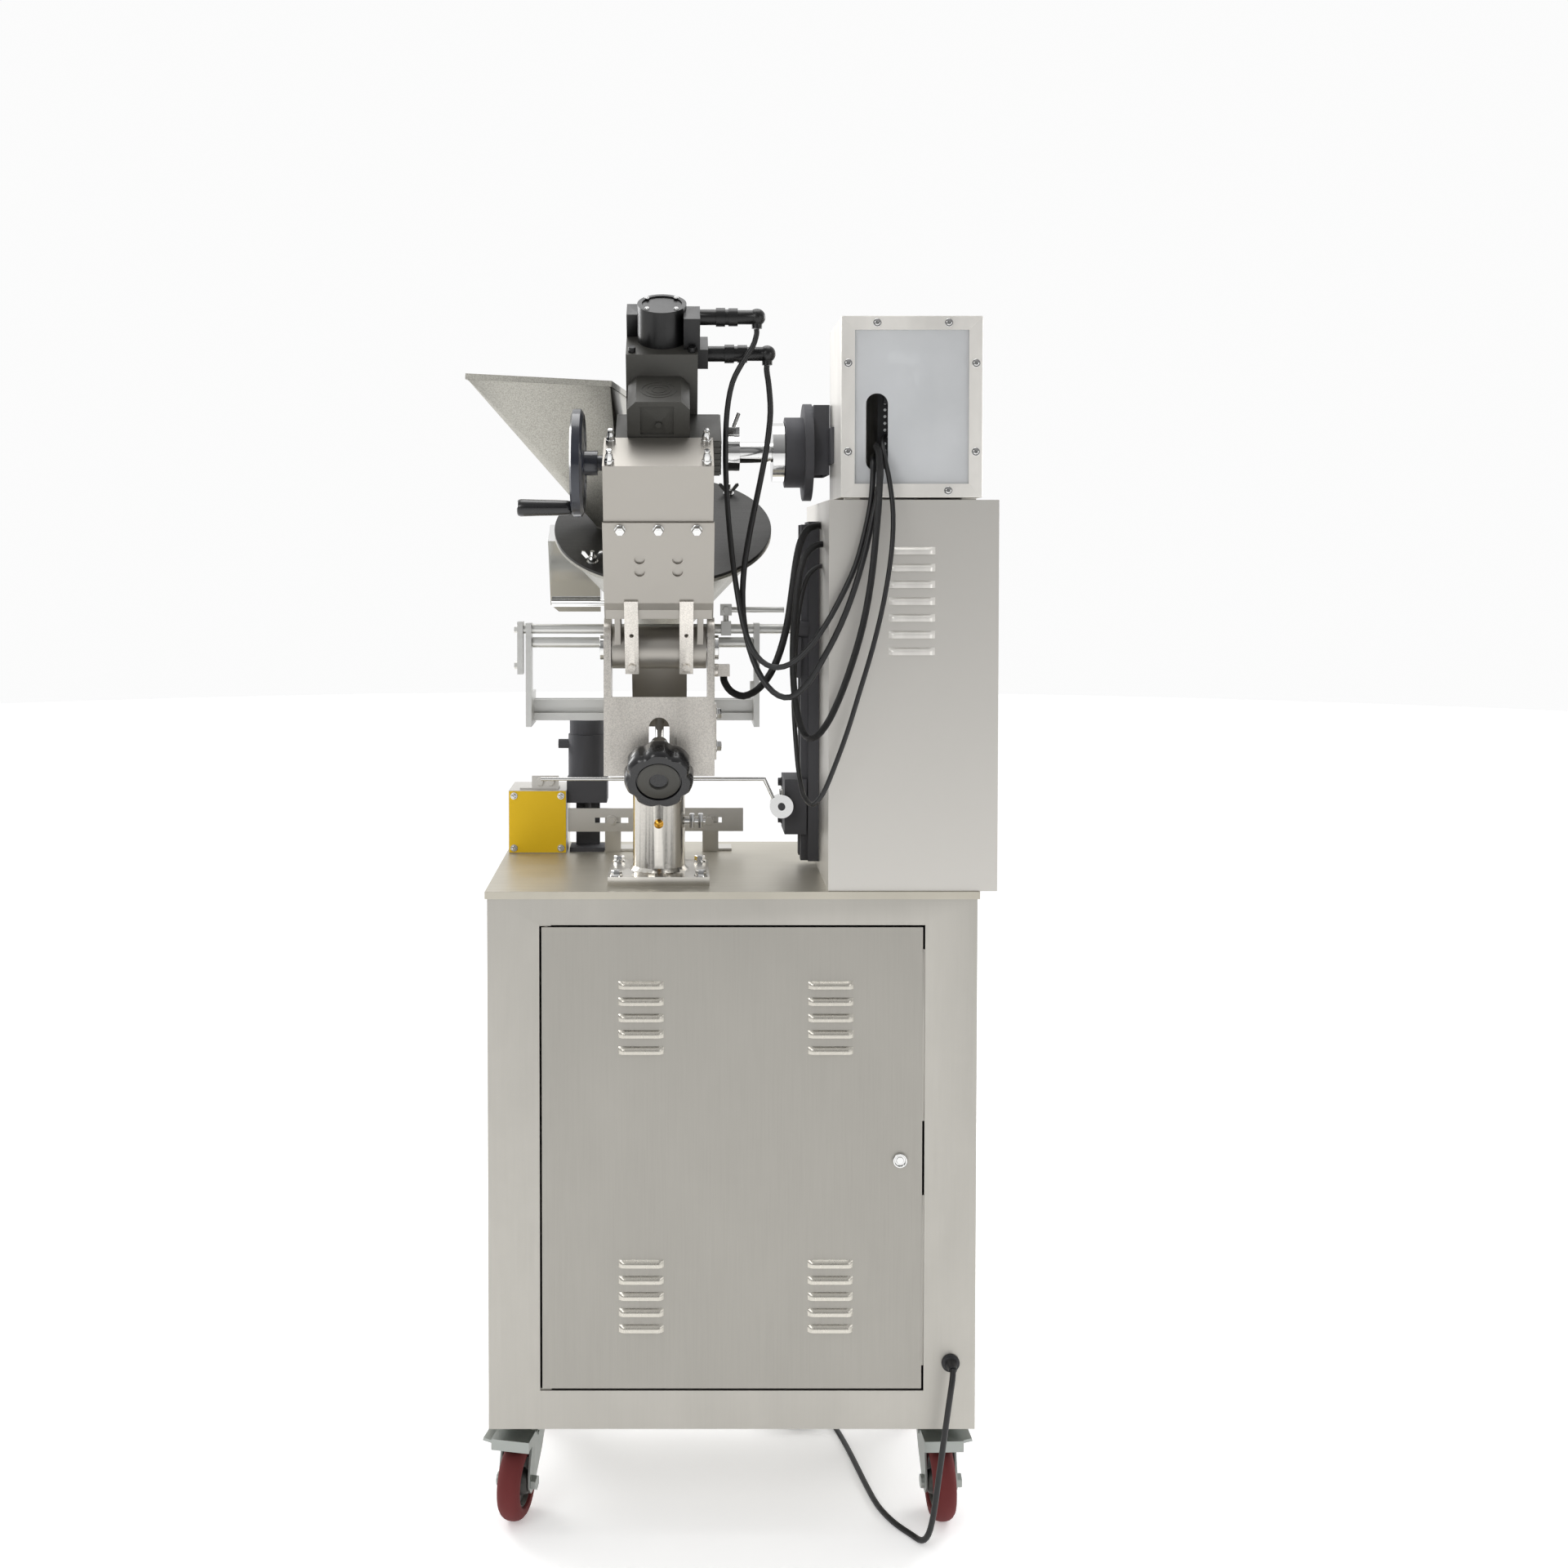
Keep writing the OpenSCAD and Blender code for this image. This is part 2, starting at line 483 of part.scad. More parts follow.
module head_frame() color([0.68, 0.66, 0.62]) in_head() difference() {
    union() {
        difference() {
            translate([-head_w / 2, casing_front, casing_low])
                cube([head_w, casing_back - casing_front, casing_top - casing_low]);
            translate([-head_w / 2 + 6, casing_front + 3, casing_low + 6])
                cube([head_w - 12, casing_back - casing_front - 6, casing_top - casing_low - 9]);
            ycyl(auger_x, casing_back - 4, crank_z, 12, 6);
            xcyl(-head_w / 2 - 1, crank_y, crank_z, 10 + run, 8);
        }
        for (s = [-1, 1])
            translate([s * 56 - 4, -22, 0]) cube([8, 44, casing_low]);
        xcyl(-bracket_w / 2 + ear_t + 1, 0, 0, 29, bracket_w - 2 * ear_t - 2);
        translate([-38, -7, stud_z - 24]) cube([76, 14, 110]);
    }
    xcyl(-bracket_w / 2, 0, 0, pin_d / 2 + run, bracket_w);
    ycyl(0, -8, stud_z, stud_d / 2 + run, 16);
    // notch for the funnel's rim
    zcyl(auger_x, auger_y, casing_low - 1, lid_r + 1, lid_z - casing_low + 4);
}

module head_cover() color([0.66, 0.64, 0.60]) in_head() difference() {
    translate([-head_w / 2 - 1.5, 0, 0]) rotate([90, 0, 90]) linear_extrude(head_w + 3)
        polygon([[casing_front, 214], [casing_front - 3, 214], [casing_front - 3, 92], [casing_front + 4, 62],
            [casing_front + 7, 62], [casing_front, 92]]);
    translate([-head_w / 2, casing_front - 0.01, casing_low - 5]) cube([head_w, 10, 220]);
    for (s = [-25, 25], z = [140, 159])
        ycyl(s, casing_front - 5, z, 7, 8);
}

module head_fasteners() color([0.82, 0.81, 0.78]) in_head() {
    for (x = [-50, 0, 50])
        translate([x, casing_front - 3, 204]) rotate([90, 0, 0]) hex_head(13, 5, 8);
    for (s = [-1, 1], y = [casing_front + 9, casing_back - 14])
        translate([s * (head_w / 2 - 9), y, casing_top]) {
            cylinder(r = 6.5, h = 5, $fn = 6);
            translate([0, 0, 5]) cylinder(r1 = 6, r2 = 3.5, h = 11);
            translate([0, 0, 16]) cylinder(r = 4, h = 3);
        }
    for (a = [46, 226]) translate([auger_x + 140 * cos(a), auger_y + 140 * sin(a), lid_z]) {
        cylinder(r = 8, h = 1.5);
        translate([0, 0, 1.5]) cylinder(r = 6, h = 8);
        translate([0, 0, 9.5]) cylinder(r = 3, h = 8);
        for (s = [-1, 1])
            translate([s * 4, -1.5, 5]) rotate([0, s * 35, 0]) cube([4, 3, 14]);
    }
}

module head_straps() color([0.76, 0.74, 0.70]) in_head() for (x = [-37, 37]) {
    difference() {
        translate([x - 9.3, casing_front - 6, 32]) cube([18.6, 3, 64]);
        ycyl(x, casing_front - 8, 42, 3, 8);
    }
    translate([x - 9.3, casing_front - 6, -20]) cube([18.6, 5, 52]);
    translate([x, casing_front - 6, -8]) rotate([90, 0, 0]) cylinder(r = 5, h = 4);
}

module gearbox() color([0.24, 0.24, 0.23]) in_head() {
    // ribbed lower body that carries the cross shaft
    difference() {
        union() {
            translate([-55, casing_back + 3, 237]) cube([136, 80, 52]);
            for (i = [0:5])
                translate([-57, casing_back + 2, 239 + i * 9]) cube([140, 82, 4]);
            translate([-45, casing_back, 240]) cube([98, 5, 50]);
        }
        ycyl(auger_x, casing_back - 1, crank_z, 8 + run, 90);
    }
    // round-cornered cap
    difference() {
        translate([-41, casing_back + 3, 289]) cube([82, 79, 56]);
        for (s = [-1, 1])
            translate([s * 41, casing_back + 2, 345]) rotate([0, s * 45, 0]) translate([-8, 0, -8]) cube([16, 82, 16]);
        translate([-24, casing_back + 2, 298]) cube([44, 4, 40]);
    }
    ycyl(0, casing_back + 1, 312, 4, 5);
    // gear housing round the bevel pair, with the column down to the lid
    difference() {
        translate([-44, casing_back + 84, 235]) cube([96, 98, 141]);
        translate([-36, casing_back + 92, 243]) cube([80, 82, 66]);
        ycyl(auger_x, casing_back + 83, crank_z, 8 + run, 12);
        zcyl(auger_x, auger_y, 230, 8 + run, 20);
        zcyl(auger_x, auger_y, 300, 8.5, 80);
    }
    difference() {
        zcyl(auger_x, auger_y, lid_z, 36, 235 - lid_z);
        zcyl(auger_x, auger_y, lid_z - 1, 28, 235 - lid_z + 2);
    }
}

// A circular connector along X: threaded shell, two coupling rings and an elbow with its cable nut.
module connector(x, y, z, reach) {
    xcyl(x, y, z, 10.5, reach * 0.28);
    xcyl(x + reach * 0.28, y, z, 12.5, reach * 0.16);
    xcyl(x + reach * 0.44, y, z, 10.5, reach * 0.06);
    xcyl(x + reach * 0.50, y, z, 12, reach * 0.16);
    xcyl(x + reach * 0.66, y, z, 9.5, reach * 0.34);
    translate([x + reach, y, z]) sphere(r = 11.5);
    translate([x + reach, y, z]) rotate([180 - tilt, 0, 0]) cylinder(r = 7, h = 15);
}

module servo_motor() color([0.09, 0.09, 0.10]) in_head() {
    difference() {
        zcyl(auger_x, auger_y, 376, motor_d / 2, 52);
        zcyl(auger_x, auger_y, 428 - 2, motor_d / 2 - 6, 3);
        zcyl(auger_x, auger_y, 370, 9, 20);
    }
    for (s = [-1, 1])
        zcyl(auger_x + s * 40, auger_y - 40, 376, 5, 7);
    translate([-44, auger_y + 10, 376]) cube([34, 38, 32]);
    translate([auger_x + motor_d / 2 - 4, auger_y - 34, 376]) cube([22, 44, 44]);
    translate([52, auger_y - 34, 348]) cube([14, 44, 28]);
    connector(auger_x + motor_d / 2 + 18, auger_y - 14, 414, 76);
    connector(66, auger_y - 16, 362, 80);
}

module powder_funnel() color([0.74, 0.73, 0.70]) in_head() translate([auger_x, auger_y, 0])
    rotate_extrude($fn = 128) polygon([[neck_r, neck_foot_z], [neck_r, neck_foot_z + 34],
        [neck_r + 1, neck_foot_z + 34], [neck_r + 1, cone_foot_z], [cone_top_r + 2, 77.5],
        [lid_r, 77.5], [lid_r, lid_z - 4.5], [cone_top_r, lid_z - 4.5], [cone_top_r, 77.5],
        [neck_r - funnel_t, cone_foot_z + 0.8], [neck_r - funnel_t, neck_foot_z]]);

hopper_turn = -7;
outlet_turn = -30;
outlet = 44;
rim_w = 198;
rim_d = 172;
rim_z = 323;
outlet_at = [-54, 160];
rim_at = [-66, 152];
module outlet_square(s, z, h) translate([outlet_at[0], outlet_at[1], z]) rotate([0, 0, outlet_turn])
    translate([-outlet + s, s, 0]) cube([outlet - 2 * s, outlet - 2 * s, h]);
// The rim lies level while the head leans by the tilt.
module rim_square(s, z, h) translate([rim_at[0], rim_at[1], rim_z]) rotate([0, 0, hopper_turn])
    rotate([-tilt, 0, 0]) translate([-rim_w + s, s, z]) cube([rim_w - 2 * s, rim_d - 2 * s, h]);
// Corners of a turned rectangle with its near right corner at p, leaning by a and drawn in by s.
function corners(p, turn, w, d, a, s, z) = [for (c = [[s - w, s], [-s, s], [-s, d - s], [s - w, d - s]])
    let (y = c[1] * cos(a)) [p[0] + c[0] * cos(turn) - y * sin(turn),
        p[1] + c[0] * sin(turn) + y * cos(turn), z - c[1] * sin(a)]];

module funnel_lid() color([0.27, 0.26, 0.24]) in_head() difference() {
    zcyl(auger_x, auger_y, lid_z - 4.5, lid_r, 4.5);
    zcyl(auger_x, auger_y, lid_z - 6, 20, 8);
    outlet_square(funnel_t, lid_z - 6, 8);
}

module wedge_hopper() color([0.70, 0.69, 0.65]) in_head() {
    foot = lid_z + 4;
    // folded sheet walls, each split along its fold line
    polyhedron(
        points = concat(corners(outlet_at, outlet_turn, outlet, outlet, 0, 0, foot),
            corners(rim_at, hopper_turn, rim_w, rim_d, tilt, 0, rim_z),
            corners(outlet_at, outlet_turn, outlet, outlet, 0, funnel_t, foot),
            corners(rim_at, hopper_turn, rim_w, rim_d, tilt, funnel_t, rim_z)),
        faces = [for (i = [0:3]) let (j = (i + 1) % 4) each [[i, 4 + i, j], [4 + i, 4 + j, j],
            [8 + i, 8 + j, 12 + i], [12 + i, 8 + j, 12 + j], [4 + i, 12 + i, 12 + j],
            [4 + i, 12 + j, 4 + j], [i, j, 8 + j, 8 + i]]]);
    difference() {
        rim_square(-2, -1, 8);
        rim_square(funnel_t / 2, -2, 10);
    }
    difference() {
        outlet_square(0.4, lid_z, 5);
        outlet_square(funnel_t - 0.4, lid_z - 1, 7);
    }
}

module level_box() color([0.74, 0.75, 0.74]) in_head() {
    rotate([90, 0, 0]) translate([0, 0, -300]) linear_extrude(50)
        polygon([[-168, 26], [-168, -86], [-156, -98], [-92, -98], [-92, 26]]);
    xcyl(-166, 246, -80, 6, 186);
    difference() {
        translate([auger_x - 9, auger_y + neck_r, -114]) cube([18, 254 - auger_y - neck_r, 44]);
        zcyl(auger_x, auger_y, -130, neck_r + 14, 62);
    }
    difference() {
        zcyl(auger_x, auger_y, -114, neck_r + 17, 18);
        zcyl(auger_x, auger_y, -116, neck_r + 1, 22);
    }
}

// A straight-toothed bevel gear, its large end at z = 0 and its apex at z = back.
module bevel(phase, back) linear_extrude(height = back * 0.46, scale = 0.54) polygon(
    [for (i = [0:15], k = [0:3]) let (a = 360 / 16 * (i + [-0.24, -0.15, 0.15, 0.24][k] + phase),
        r = back * [0.938, 1.015, 1.015, 0.938][k]) [r * cos(a), r * sin(a)]]);

module crank_wheel() color([0.10, 0.11, 0.14]) in_head() translate([-head_w / 2, crank_y, crank_z]) {
    rotate([0, -90, 0]) {
        difference() {
            rotate_extrude($fn = 96) polygon([[0, 7], [16, 7], [16, 24], [crank_d / 2 - 12, 27], [crank_d / 2 - 6, 24.5],
                [crank_d / 2, 28], [crank_d / 2, 38], [crank_d / 2 - 5, 40.5], [crank_d / 2 - 12, 38],
                [crank_d / 2 - 16, 33], [18, 32], [14, 38], [0, 38]]);
            for (a = [0:120:240]) rotate([0, 0, a + 60]) translate([crank_d / 4 + 2, 0, 20]) cylinder(r = 12, h = 20);
        }
        // spindle of the handle
        rotate([0, 0, tilt]) translate([-crank_d / 2 + 12, 0, 33]) cylinder(r = 4, h = 78);
    }
    xcyl(-7, 0, 0, 10, 33);
    xcyl(26, 0, 0, 8, head_w / 2 + auger_x - 26 - crank_gear + 2);
    translate([head_w / 2 + auger_x - crank_gear, 0, 0]) rotate([0, 90, 0]) bevel(0, crank_gear);
}

module crank_handle() color([0.06, 0.06, 0.07]) in_head() translate([-head_w / 2, crank_y, crank_z])
    rotate([0, -90, 0]) rotate([0, 0, tilt]) translate([-crank_d / 2 + 12, 0, 41]) difference() {
        rotate_extrude() polygon([[0, 0], [9, 0], [10.5, 4], [10.5, 62], [11.5, 68], [9.5, 70], [0, 70]]);
        translate([0, 0, -1]) cylinder(r = 4 + run, h = 72);
    }

module cross_shaft() color([0.66, 0.66, 0.65]) in_head() translate([auger_x, 0, crank_z]) {
    ycyl(0, crank_y + crank_gear - 2, 0, 8, auger_y - crank_y - crank_gear - 12);
    translate([0, crank_y + crank_gear, 0]) rotate([90, 0, 0]) bevel(0.5, crank_gear);
    translate([0, auger_y - gear_back, 0]) rotate([-90, 0, 0]) bevel(0, gear_back);
}

module auger() color([0.72, 0.72, 0.70]) in_head() translate([auger_x, auger_y, 0]) {
    translate([0, 0, neck_foot_z + 6]) linear_extrude(height = 120, twist = -1440, slices = 64, convexity = 6)
        union() {
            circle(r = 9, $fn = 8);
            polygon([[0, -3], [auger_d / 2, -7], [auger_d / 2, 7], [0, 3]]);
        }
    zcyl(0, 0, neck_foot_z + 126, 8, 350 - neck_foot_z - 126);
    translate([0, 0, crank_z - gear_back]) bevel(0.5, gear_back);
}

module agitator() color([0.70, 0.70, 0.68]) in_head() translate([auger_x, auger_y, 0]) difference() {
    union() {
        zcyl(0, 0, 20, 16, 30);
        for (s = [-1, 1]) {
            rotate([0, 0, 90 + s * 90]) xcyl(10, 0, 42, 5, 98);
            translate([s * 108, 0, 42]) rotate([0, s * 215.5, 0]) cylinder(r = 4, h = 92);
        }
    }
    zcyl(0, 0, 10, 8, 50);
}

module tilt_knob() color([0.07, 0.07, 0.08]) in_head() translate([0, 0, stud_z]) rotate([90, 0, 0]) {
    translate([0, 0, -16]) cylinder(r = stud_d / 2, h = 150);
    difference() {
        translate([0, 0, 132]) linear_extrude(34) union() {
            circle(r = knob_d / 2 - 8);
            for (a = [0:6]) rotate(a * 360 / 7) translate([knob_d / 2 - 13, 0]) circle(r = 13, $fn = 32);
        }
        translate([0, 0, 162]) difference() {
            cylinder(r = 29, h = 5);
            cylinder(r = 17, h = 5);
        }
    }
    translate([0, 0, 112]) cylinder(r1 = 12, r2 = 18, h = 20);
    translate([0, 0, 166]) cylinder(r = 10, h = 9, $fn = 6);
    translate([0, 0, 175]) cylinder(r1 = 8.5, r2 = 4, h = 8);
}

module reel_bracket() color([0.70, 0.67, 0.64]) at_frame() difference() {
    union() {
        translate([118, reel_y - 50, reel_z - 34]) cube([box_x - 118 - 2, 100, 98]);
        translate([box_x - 4, reel_y - 100, reel_z - 20]) cube([4, 150, 50]);
        xcyl(106, reel_y, reel_z, disc_r, 12);
        xcyl(80, reel_y, reel_z, 50, 26);
    }
    translate([120, reel_y - 48, reel_z - 35]) cube([box_x - 118 - 6, 96, 97]);
    xcyl(79, reel_y, reel_z, reel_d / 2 + run, 60);
}

module reel_shaft() color([0.75, 0.75, 0.74]) at_frame() {
    xcyl(-6, reel_y, reel_z, reel_d / 2, 139);
    difference() {
        union() {
            xcyl(-2, reel_y, reel_z, 26, 18);
            translate([-2, reel_y - 7, reel_z]) cube([18, 14, 36]);
        }
        xcyl(-3, reel_y, reel_z, reel_d / 2, 20);
    }
    translate([7, reel_y, reel_z + 36]) rotate([0, 20, 0]) cylinder(r = 3.5, h = 22);
    difference() {
        xcyl(62, reel_y, reel_z, 42, 17);
        xcyl(61, reel_y, reel_z, reel_d / 2, 19);
    }
}

module guide_frame() color([0.82, 0.82, 0.80]) at_frame() {
    xcyl(-290, rods_y, rod_z, 7, 290 + upper_x - 15 - 2);
    for (x = [-286, 35]) difference() {
        translate([x, rods_y - 14, table_z + 203]) cube([8, 82, 146]);
        xcyl(x - 1, rods_y, rod_z, 7, 10);
        xcyl(x - 1, rods_y, roller_z, 5 + run, 10);
        translate([x - 1, rods_y + 12, table_z + 250]) cube([10, 60, 110]);
    }
    difference() {
        translate([-278, 196, table_z + 208]) cube([313, 30, 30]);
        for (z = [0, 1]) translate([-279, 207, table_z + (z == 0 ? 207 : 230)]) cube([315, 8, 9]);
        translate([-279, 195, table_z + 219]) cube([315, 9, 8]);
    }
    difference() {
        translate([-298, rods_y - 12, table_z + 277]) cube([8, 24, 74]);
        xcyl(-299, rods_y, rod_z, 3, 10);
    }
    for (z = [rod_z, table_z + 290])
        translate([-298, rods_y, z]) rotate([0, -90, 0]) cylinder(r = 6, h = 5, $fn = 6);
    translate([35, rods_y, table_z + 260]) rotate([0, -90, 0]) cylinder(r = 7, h = 5, $fn = 6);
}

module guide_roller() color([0.78, 0.78, 0.76]) at_frame() {
    xcyl(-277, rods_y, roller_z, roller_d / 2, 311);
    xcyl(-277 - 7, rods_y, roller_z, 5, 325);
}

module cross_clamp() color([0.80, 0.80, 0.78]) at_frame() {
    difference() {
        translate([-11, rods_y - 10, rod_z - 9]) cube([14, 20, 20]);
        xcyl(-12, rods_y, rod_z, 7, 16);
    }
    zcyl(-4, rods_y, rod_z + 11, 4, 10);
    translate([-12, rods_y - 8, rod_z + 19]) cube([16, 16, 16]);
    xcyl(4, rods_y, rod_z + 27, 4, 74);
    translate([-4, rods_y - 8, rod_z + 27]) rotate([90, 0, 0]) cylinder(r = 5, h = 4, $fn = 6);
}

rail_ys = [164, 208];
module guide_rails() color([0.30, 0.30, 0.31]) at_frame() translate([upper_x, 0, table_z]) difference() {
    union() {
        translate([-15, 156, 12]) cube([15, 78, 480]);
        for (y = rail_ys)
            translate([-25, y, 12]) cube([10, 18, 476]);
        translate([-32, 156, 272]) cube([7, 78, 56]);
        xcyl(-35, rods_y, rod_z - table_z, 12, 20);
    }
    xcyl(-36, rods_y, rod_z - table_z, 7, 19);
}

dial_x = -53.4;
dial_z = 92;
module slide_block() color([0.34, 0.33, 0.31]) at_frame() translate([upper_x, 0, table_z]) {
    difference() {
        translate([-48, 158, 50]) cube([31, 80, 78]);
        for (y = rail_ys)
            translate([-25 - slip, y - slip, 40]) cube([10 + 2 * slip, 18 + 2 * slip, 100]);
    }
    translate([dial_x - 9, 158, dial_z - 10]) cube([16, 20, 20]);
    ycyl(dial_x, 136, dial_z, 5, 23);
    for (z = [62, 116])
        translate([-48, 226, z]) rotate([0, -90, 0]) hex_head(10, 4, 6.5);
}

// Dial collar on the slide's stem, with the bent film-watching wire it holds.
module detector_arm() color([0.74, 0.74, 0.72]) at_frame() translate([upper_x, 0, table_z]) {
    difference() {
        ycyl(dial_x, 140, dial_z, 16.5, 16);
        ycyl(dial_x, 139, dial_z, 5 + run, 18);
    }
    translate([dial_x, 148, dial_z + 15]) cylinder(r = 3, h = 9);
    translate([dial_x - 11, 148, dial_z + 10]) rotate([0, -25, 0]) cylinder(r = 2.5, h = 31);
    translate([dial_x - 24, 148, dial_z + 38]) sphere(r = 2.6);
    xcyl(-392, 148, dial_z + 38, 2.5, 392 + dial_x - 24);
}

module switch_box() color([0.78, 0.66, 0.05]) at_frame() {
    translate([-324, 292, table_z]) difference() {
        cube([86, 98, 94]);
        translate([3, 3, 3]) cube([80, 92, 88]);
    }
    for (x = [-316, -246], z = [table_z + 8, table_z + 86])
        translate([x, 292, z]) rotate([90, 0, 0]) cylinder(r = 4, h = 3);
    translate([-308, 300, table_z + 94]) cube([58, 30, 3]);
    translate([-290, 300, table_z + 97]) cube([40, 3, 18]);
    for (x = [-278, -262])
        translate([x, 300, table_z + 106]) rotate([90, 0, 0]) hex_head(10, 4, 6.5);
}

module bag_guides() color([0.77, 0.76, 0.73]) at_frame() {
    for (x = [-236, -96]) difference() {
        translate([x, x < -100 ? 300 : 304.5, table_z + 31]) cube([122, 4, 35]);
        translate([x + 40, 299, table_z + 44]) cube([50, 12, 8]);
    }
    for (x = [-171, -25]) {
        translate([x, x < -100 ? 300 : 304.5, table_z + 48]) rotate([90, 0, 0]) hex_head(10, 4, 8);
        translate([x - 10, x < -100 ? 304 : 308.5, table_z]) cube([24, 4, 60]);
        translate([x - 10, x < -100 ? 308 : 312.5, table_z]) cube([44, 40, 4]);
    }
}

module feed_motor() color([0.20, 0.20, 0.21]) at_frame() translate([-208, 330, table_z]) {
    translate([-26, -24, 0]) cube([52, 48, 6]);
    translate([-18, 8, 6]) cube([36, 5, 68]);
    translate([-30, -28, 74]) cube([60, 56, 37]);
    zcyl(0, 0, 111, 29, 64);
    zcyl(0, 0, 175, 27, 22);
    xcyl(-44, 0, 160, 7, 18);
    zcyl(0, 0, 54, 5, 20);
}

module motor_cable() color([0.05, 0.05, 0.06]) at_frame() cord(motor_route, 7.5);
module encoder_cable() color([0.05, 0.05, 0.06]) at_frame() cord(encoder_route, 8);
module head_conduit() color([0.05, 0.05, 0.06]) at_frame() cord(conduit_route, 10);
module drive_cable() color([0.05, 0.05, 0.06]) at_frame() cord(drive_route, 9);
module sensor_cable() color([0.05, 0.05, 0.06]) at_frame() cord(sensor_route, 6.5);

module base_door() color([0.62, 0.61, 0.58]) at_frame() {
    difference() {
        translate([-door_w / 2, 0, door_z]) cube([door_w, 2, door_h]);
        for (x = [-151, 101], z = [door_z + 536, door_z + 162])
            louvre_cuts(x, z, 5, 60, 21.8, 2);
        ycyl(lock_x, -1, door_z + 308, 8 + run, 4);
    }
    for (x = [-151, 101], z = [door_z + 536, door_z + 162])
        louvre_hoods(x, z, 5, 60, 21.8);
    // stiffening folds and the two bored hinge blocks
    translate([-door_w / 2 + 25, 2, door_z + 4]) cube([2, 14, door_h - 8]);
    for (z = [door_z + 4, door_z + door_h - 6])
        translate([-door_w / 2 + 27, 2, z]) cube([door_w - 60, 12, 2]);
    for (z = [door_z + 1, door_z + door_h - 31]) difference() {
        translate([-door_w / 2, 2, z]) cube([12, 9, 30]);
        zcyl(-door_w / 2 + 6, 6, z - 1, hinge_r + run, 32);
    }
}

module door_lock() color([0.80, 0.81, 0.82]) at_frame() translate([lock_x, 0, door_z + 308]) {
    rotate([90, 0, 0]) difference() {
        cylinder(r = 10, h = 5);
        translate([0, 0, 2]) cylinder(r = 4.5, h = 4, $fn = 3);
    }
    ycyl(0, 0, 0, 8, 16);
    translate([-5, 10, -36]) cube([10, 2.5, 40]);
}

module side_door() color([0.84, 0.82, 0.78]) at_frame() {
    difference() {
        translate([upper_x + upper_w - 2, 30, upper_z + 30]) cube([2, base_d - 60, upper_h - 60]);
        xcyl(upper_x + upper_w - 4, 56, upper_z + 263, 7 + run, 6);
    }
    for (z = [upper_z + 31, upper_z + upper_h - 61]) difference() {
        translate([upper_x + upper_w - 11, base_d - 42, z]) cube([9, 12, 30]);
        zcyl(upper_x + upper_w - 6, base_d - 36, z - 1, hinge_r + run, 32);
    }
}

module side_lock() color([0.80, 0.81, 0.82]) at_frame() translate([upper_x + upper_w, 56, upper_z + 263]) {
    xcyl(0, 0, 0, 9, 4.5);
    xcyl(-16, 0, 0, 7, 16);
    translate([-15, -5, -36]) cube([2.5, 10, 40]);
}

base_cabinet();
table_top();
electrical_panel();
caster_mounts();
mains_gland();
mains_lead();
lead_coil();
mains_plug();
upper_cabinet();
control_box();
window_panel();
frame_fasteners();
servo_drive();
column();
tilt_bracket();
pivot_pin();
reel_bracket();
guide_frame();
cross_clamp();
guide_rails();
switch_box();
bag_guides();
feed_motor();
motor_cable();
encoder_cable();
head_conduit();
drive_cable();
sensor_cable();
base_door();
door_lock();
side_door();
side_lock();
left_fork();
right_fork();
front_left_wheel();
front_right_wheel();
rear_left_wheel();
rear_right_wheel();
left_pedal();
right_pedal();
head_frame();
head_cover();
head_fasteners();
head_straps();
gearbox();
servo_motor();
powder_funnel();
funnel_lid();
wedge_hopper();
level_box();
crank_wheel();
crank_handle();
auger();
agitator();
cross_shaft();
tilt_knob();
reel_shaft();
guide_roller();
slide_block();
detector_arm();
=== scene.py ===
"""Looks of a tilting powder filler on a wheeled cabinet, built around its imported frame."""

import json
import logging
import math
from dataclasses import dataclass, field
from enum import Enum
from typing import Callable, Iterable, Sequence

import bmesh
import bpy
from mathutils import Matrix, Vector

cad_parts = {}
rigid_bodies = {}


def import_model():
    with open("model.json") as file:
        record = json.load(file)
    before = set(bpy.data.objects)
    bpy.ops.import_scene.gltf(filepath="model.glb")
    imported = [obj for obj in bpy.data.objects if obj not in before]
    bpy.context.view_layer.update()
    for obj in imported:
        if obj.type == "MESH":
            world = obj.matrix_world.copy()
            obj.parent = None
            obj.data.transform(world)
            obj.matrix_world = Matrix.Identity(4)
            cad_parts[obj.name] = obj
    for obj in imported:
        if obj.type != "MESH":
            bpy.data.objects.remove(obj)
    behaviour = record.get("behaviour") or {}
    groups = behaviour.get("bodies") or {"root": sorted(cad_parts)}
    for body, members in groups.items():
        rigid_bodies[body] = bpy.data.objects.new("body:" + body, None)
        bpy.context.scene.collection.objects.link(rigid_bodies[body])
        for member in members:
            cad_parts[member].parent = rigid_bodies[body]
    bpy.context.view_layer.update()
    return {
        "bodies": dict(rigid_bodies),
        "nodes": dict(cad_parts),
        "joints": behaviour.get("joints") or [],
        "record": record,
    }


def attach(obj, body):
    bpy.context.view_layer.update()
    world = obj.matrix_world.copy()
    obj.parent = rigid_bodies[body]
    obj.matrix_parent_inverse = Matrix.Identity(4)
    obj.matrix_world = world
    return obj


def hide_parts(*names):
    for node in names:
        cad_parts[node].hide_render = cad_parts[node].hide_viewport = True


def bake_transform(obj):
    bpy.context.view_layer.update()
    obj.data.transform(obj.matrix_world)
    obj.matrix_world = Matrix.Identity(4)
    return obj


LOG = logging.getLogger("powder_filler")
MM = 0.001
NEAR_FACE = -148.0
PIVOT = (-97.5, 100, 1188)
TILT = math.radians(30)
FLOOR = Matrix.Translation((0, NEAR_FACE * MM, 0)) @ Matrix.Scale(MM, 4)
HEAD = FLOOR @ Matrix.Translation(PIVOT) @ Matrix.Rotation(TILT, 4, "X")
LOOSE = Matrix.Scale(MM, 4)
TABLE_Z = 870.0
Point = Sequence[float]
Socket = bpy.types.NodeSocket
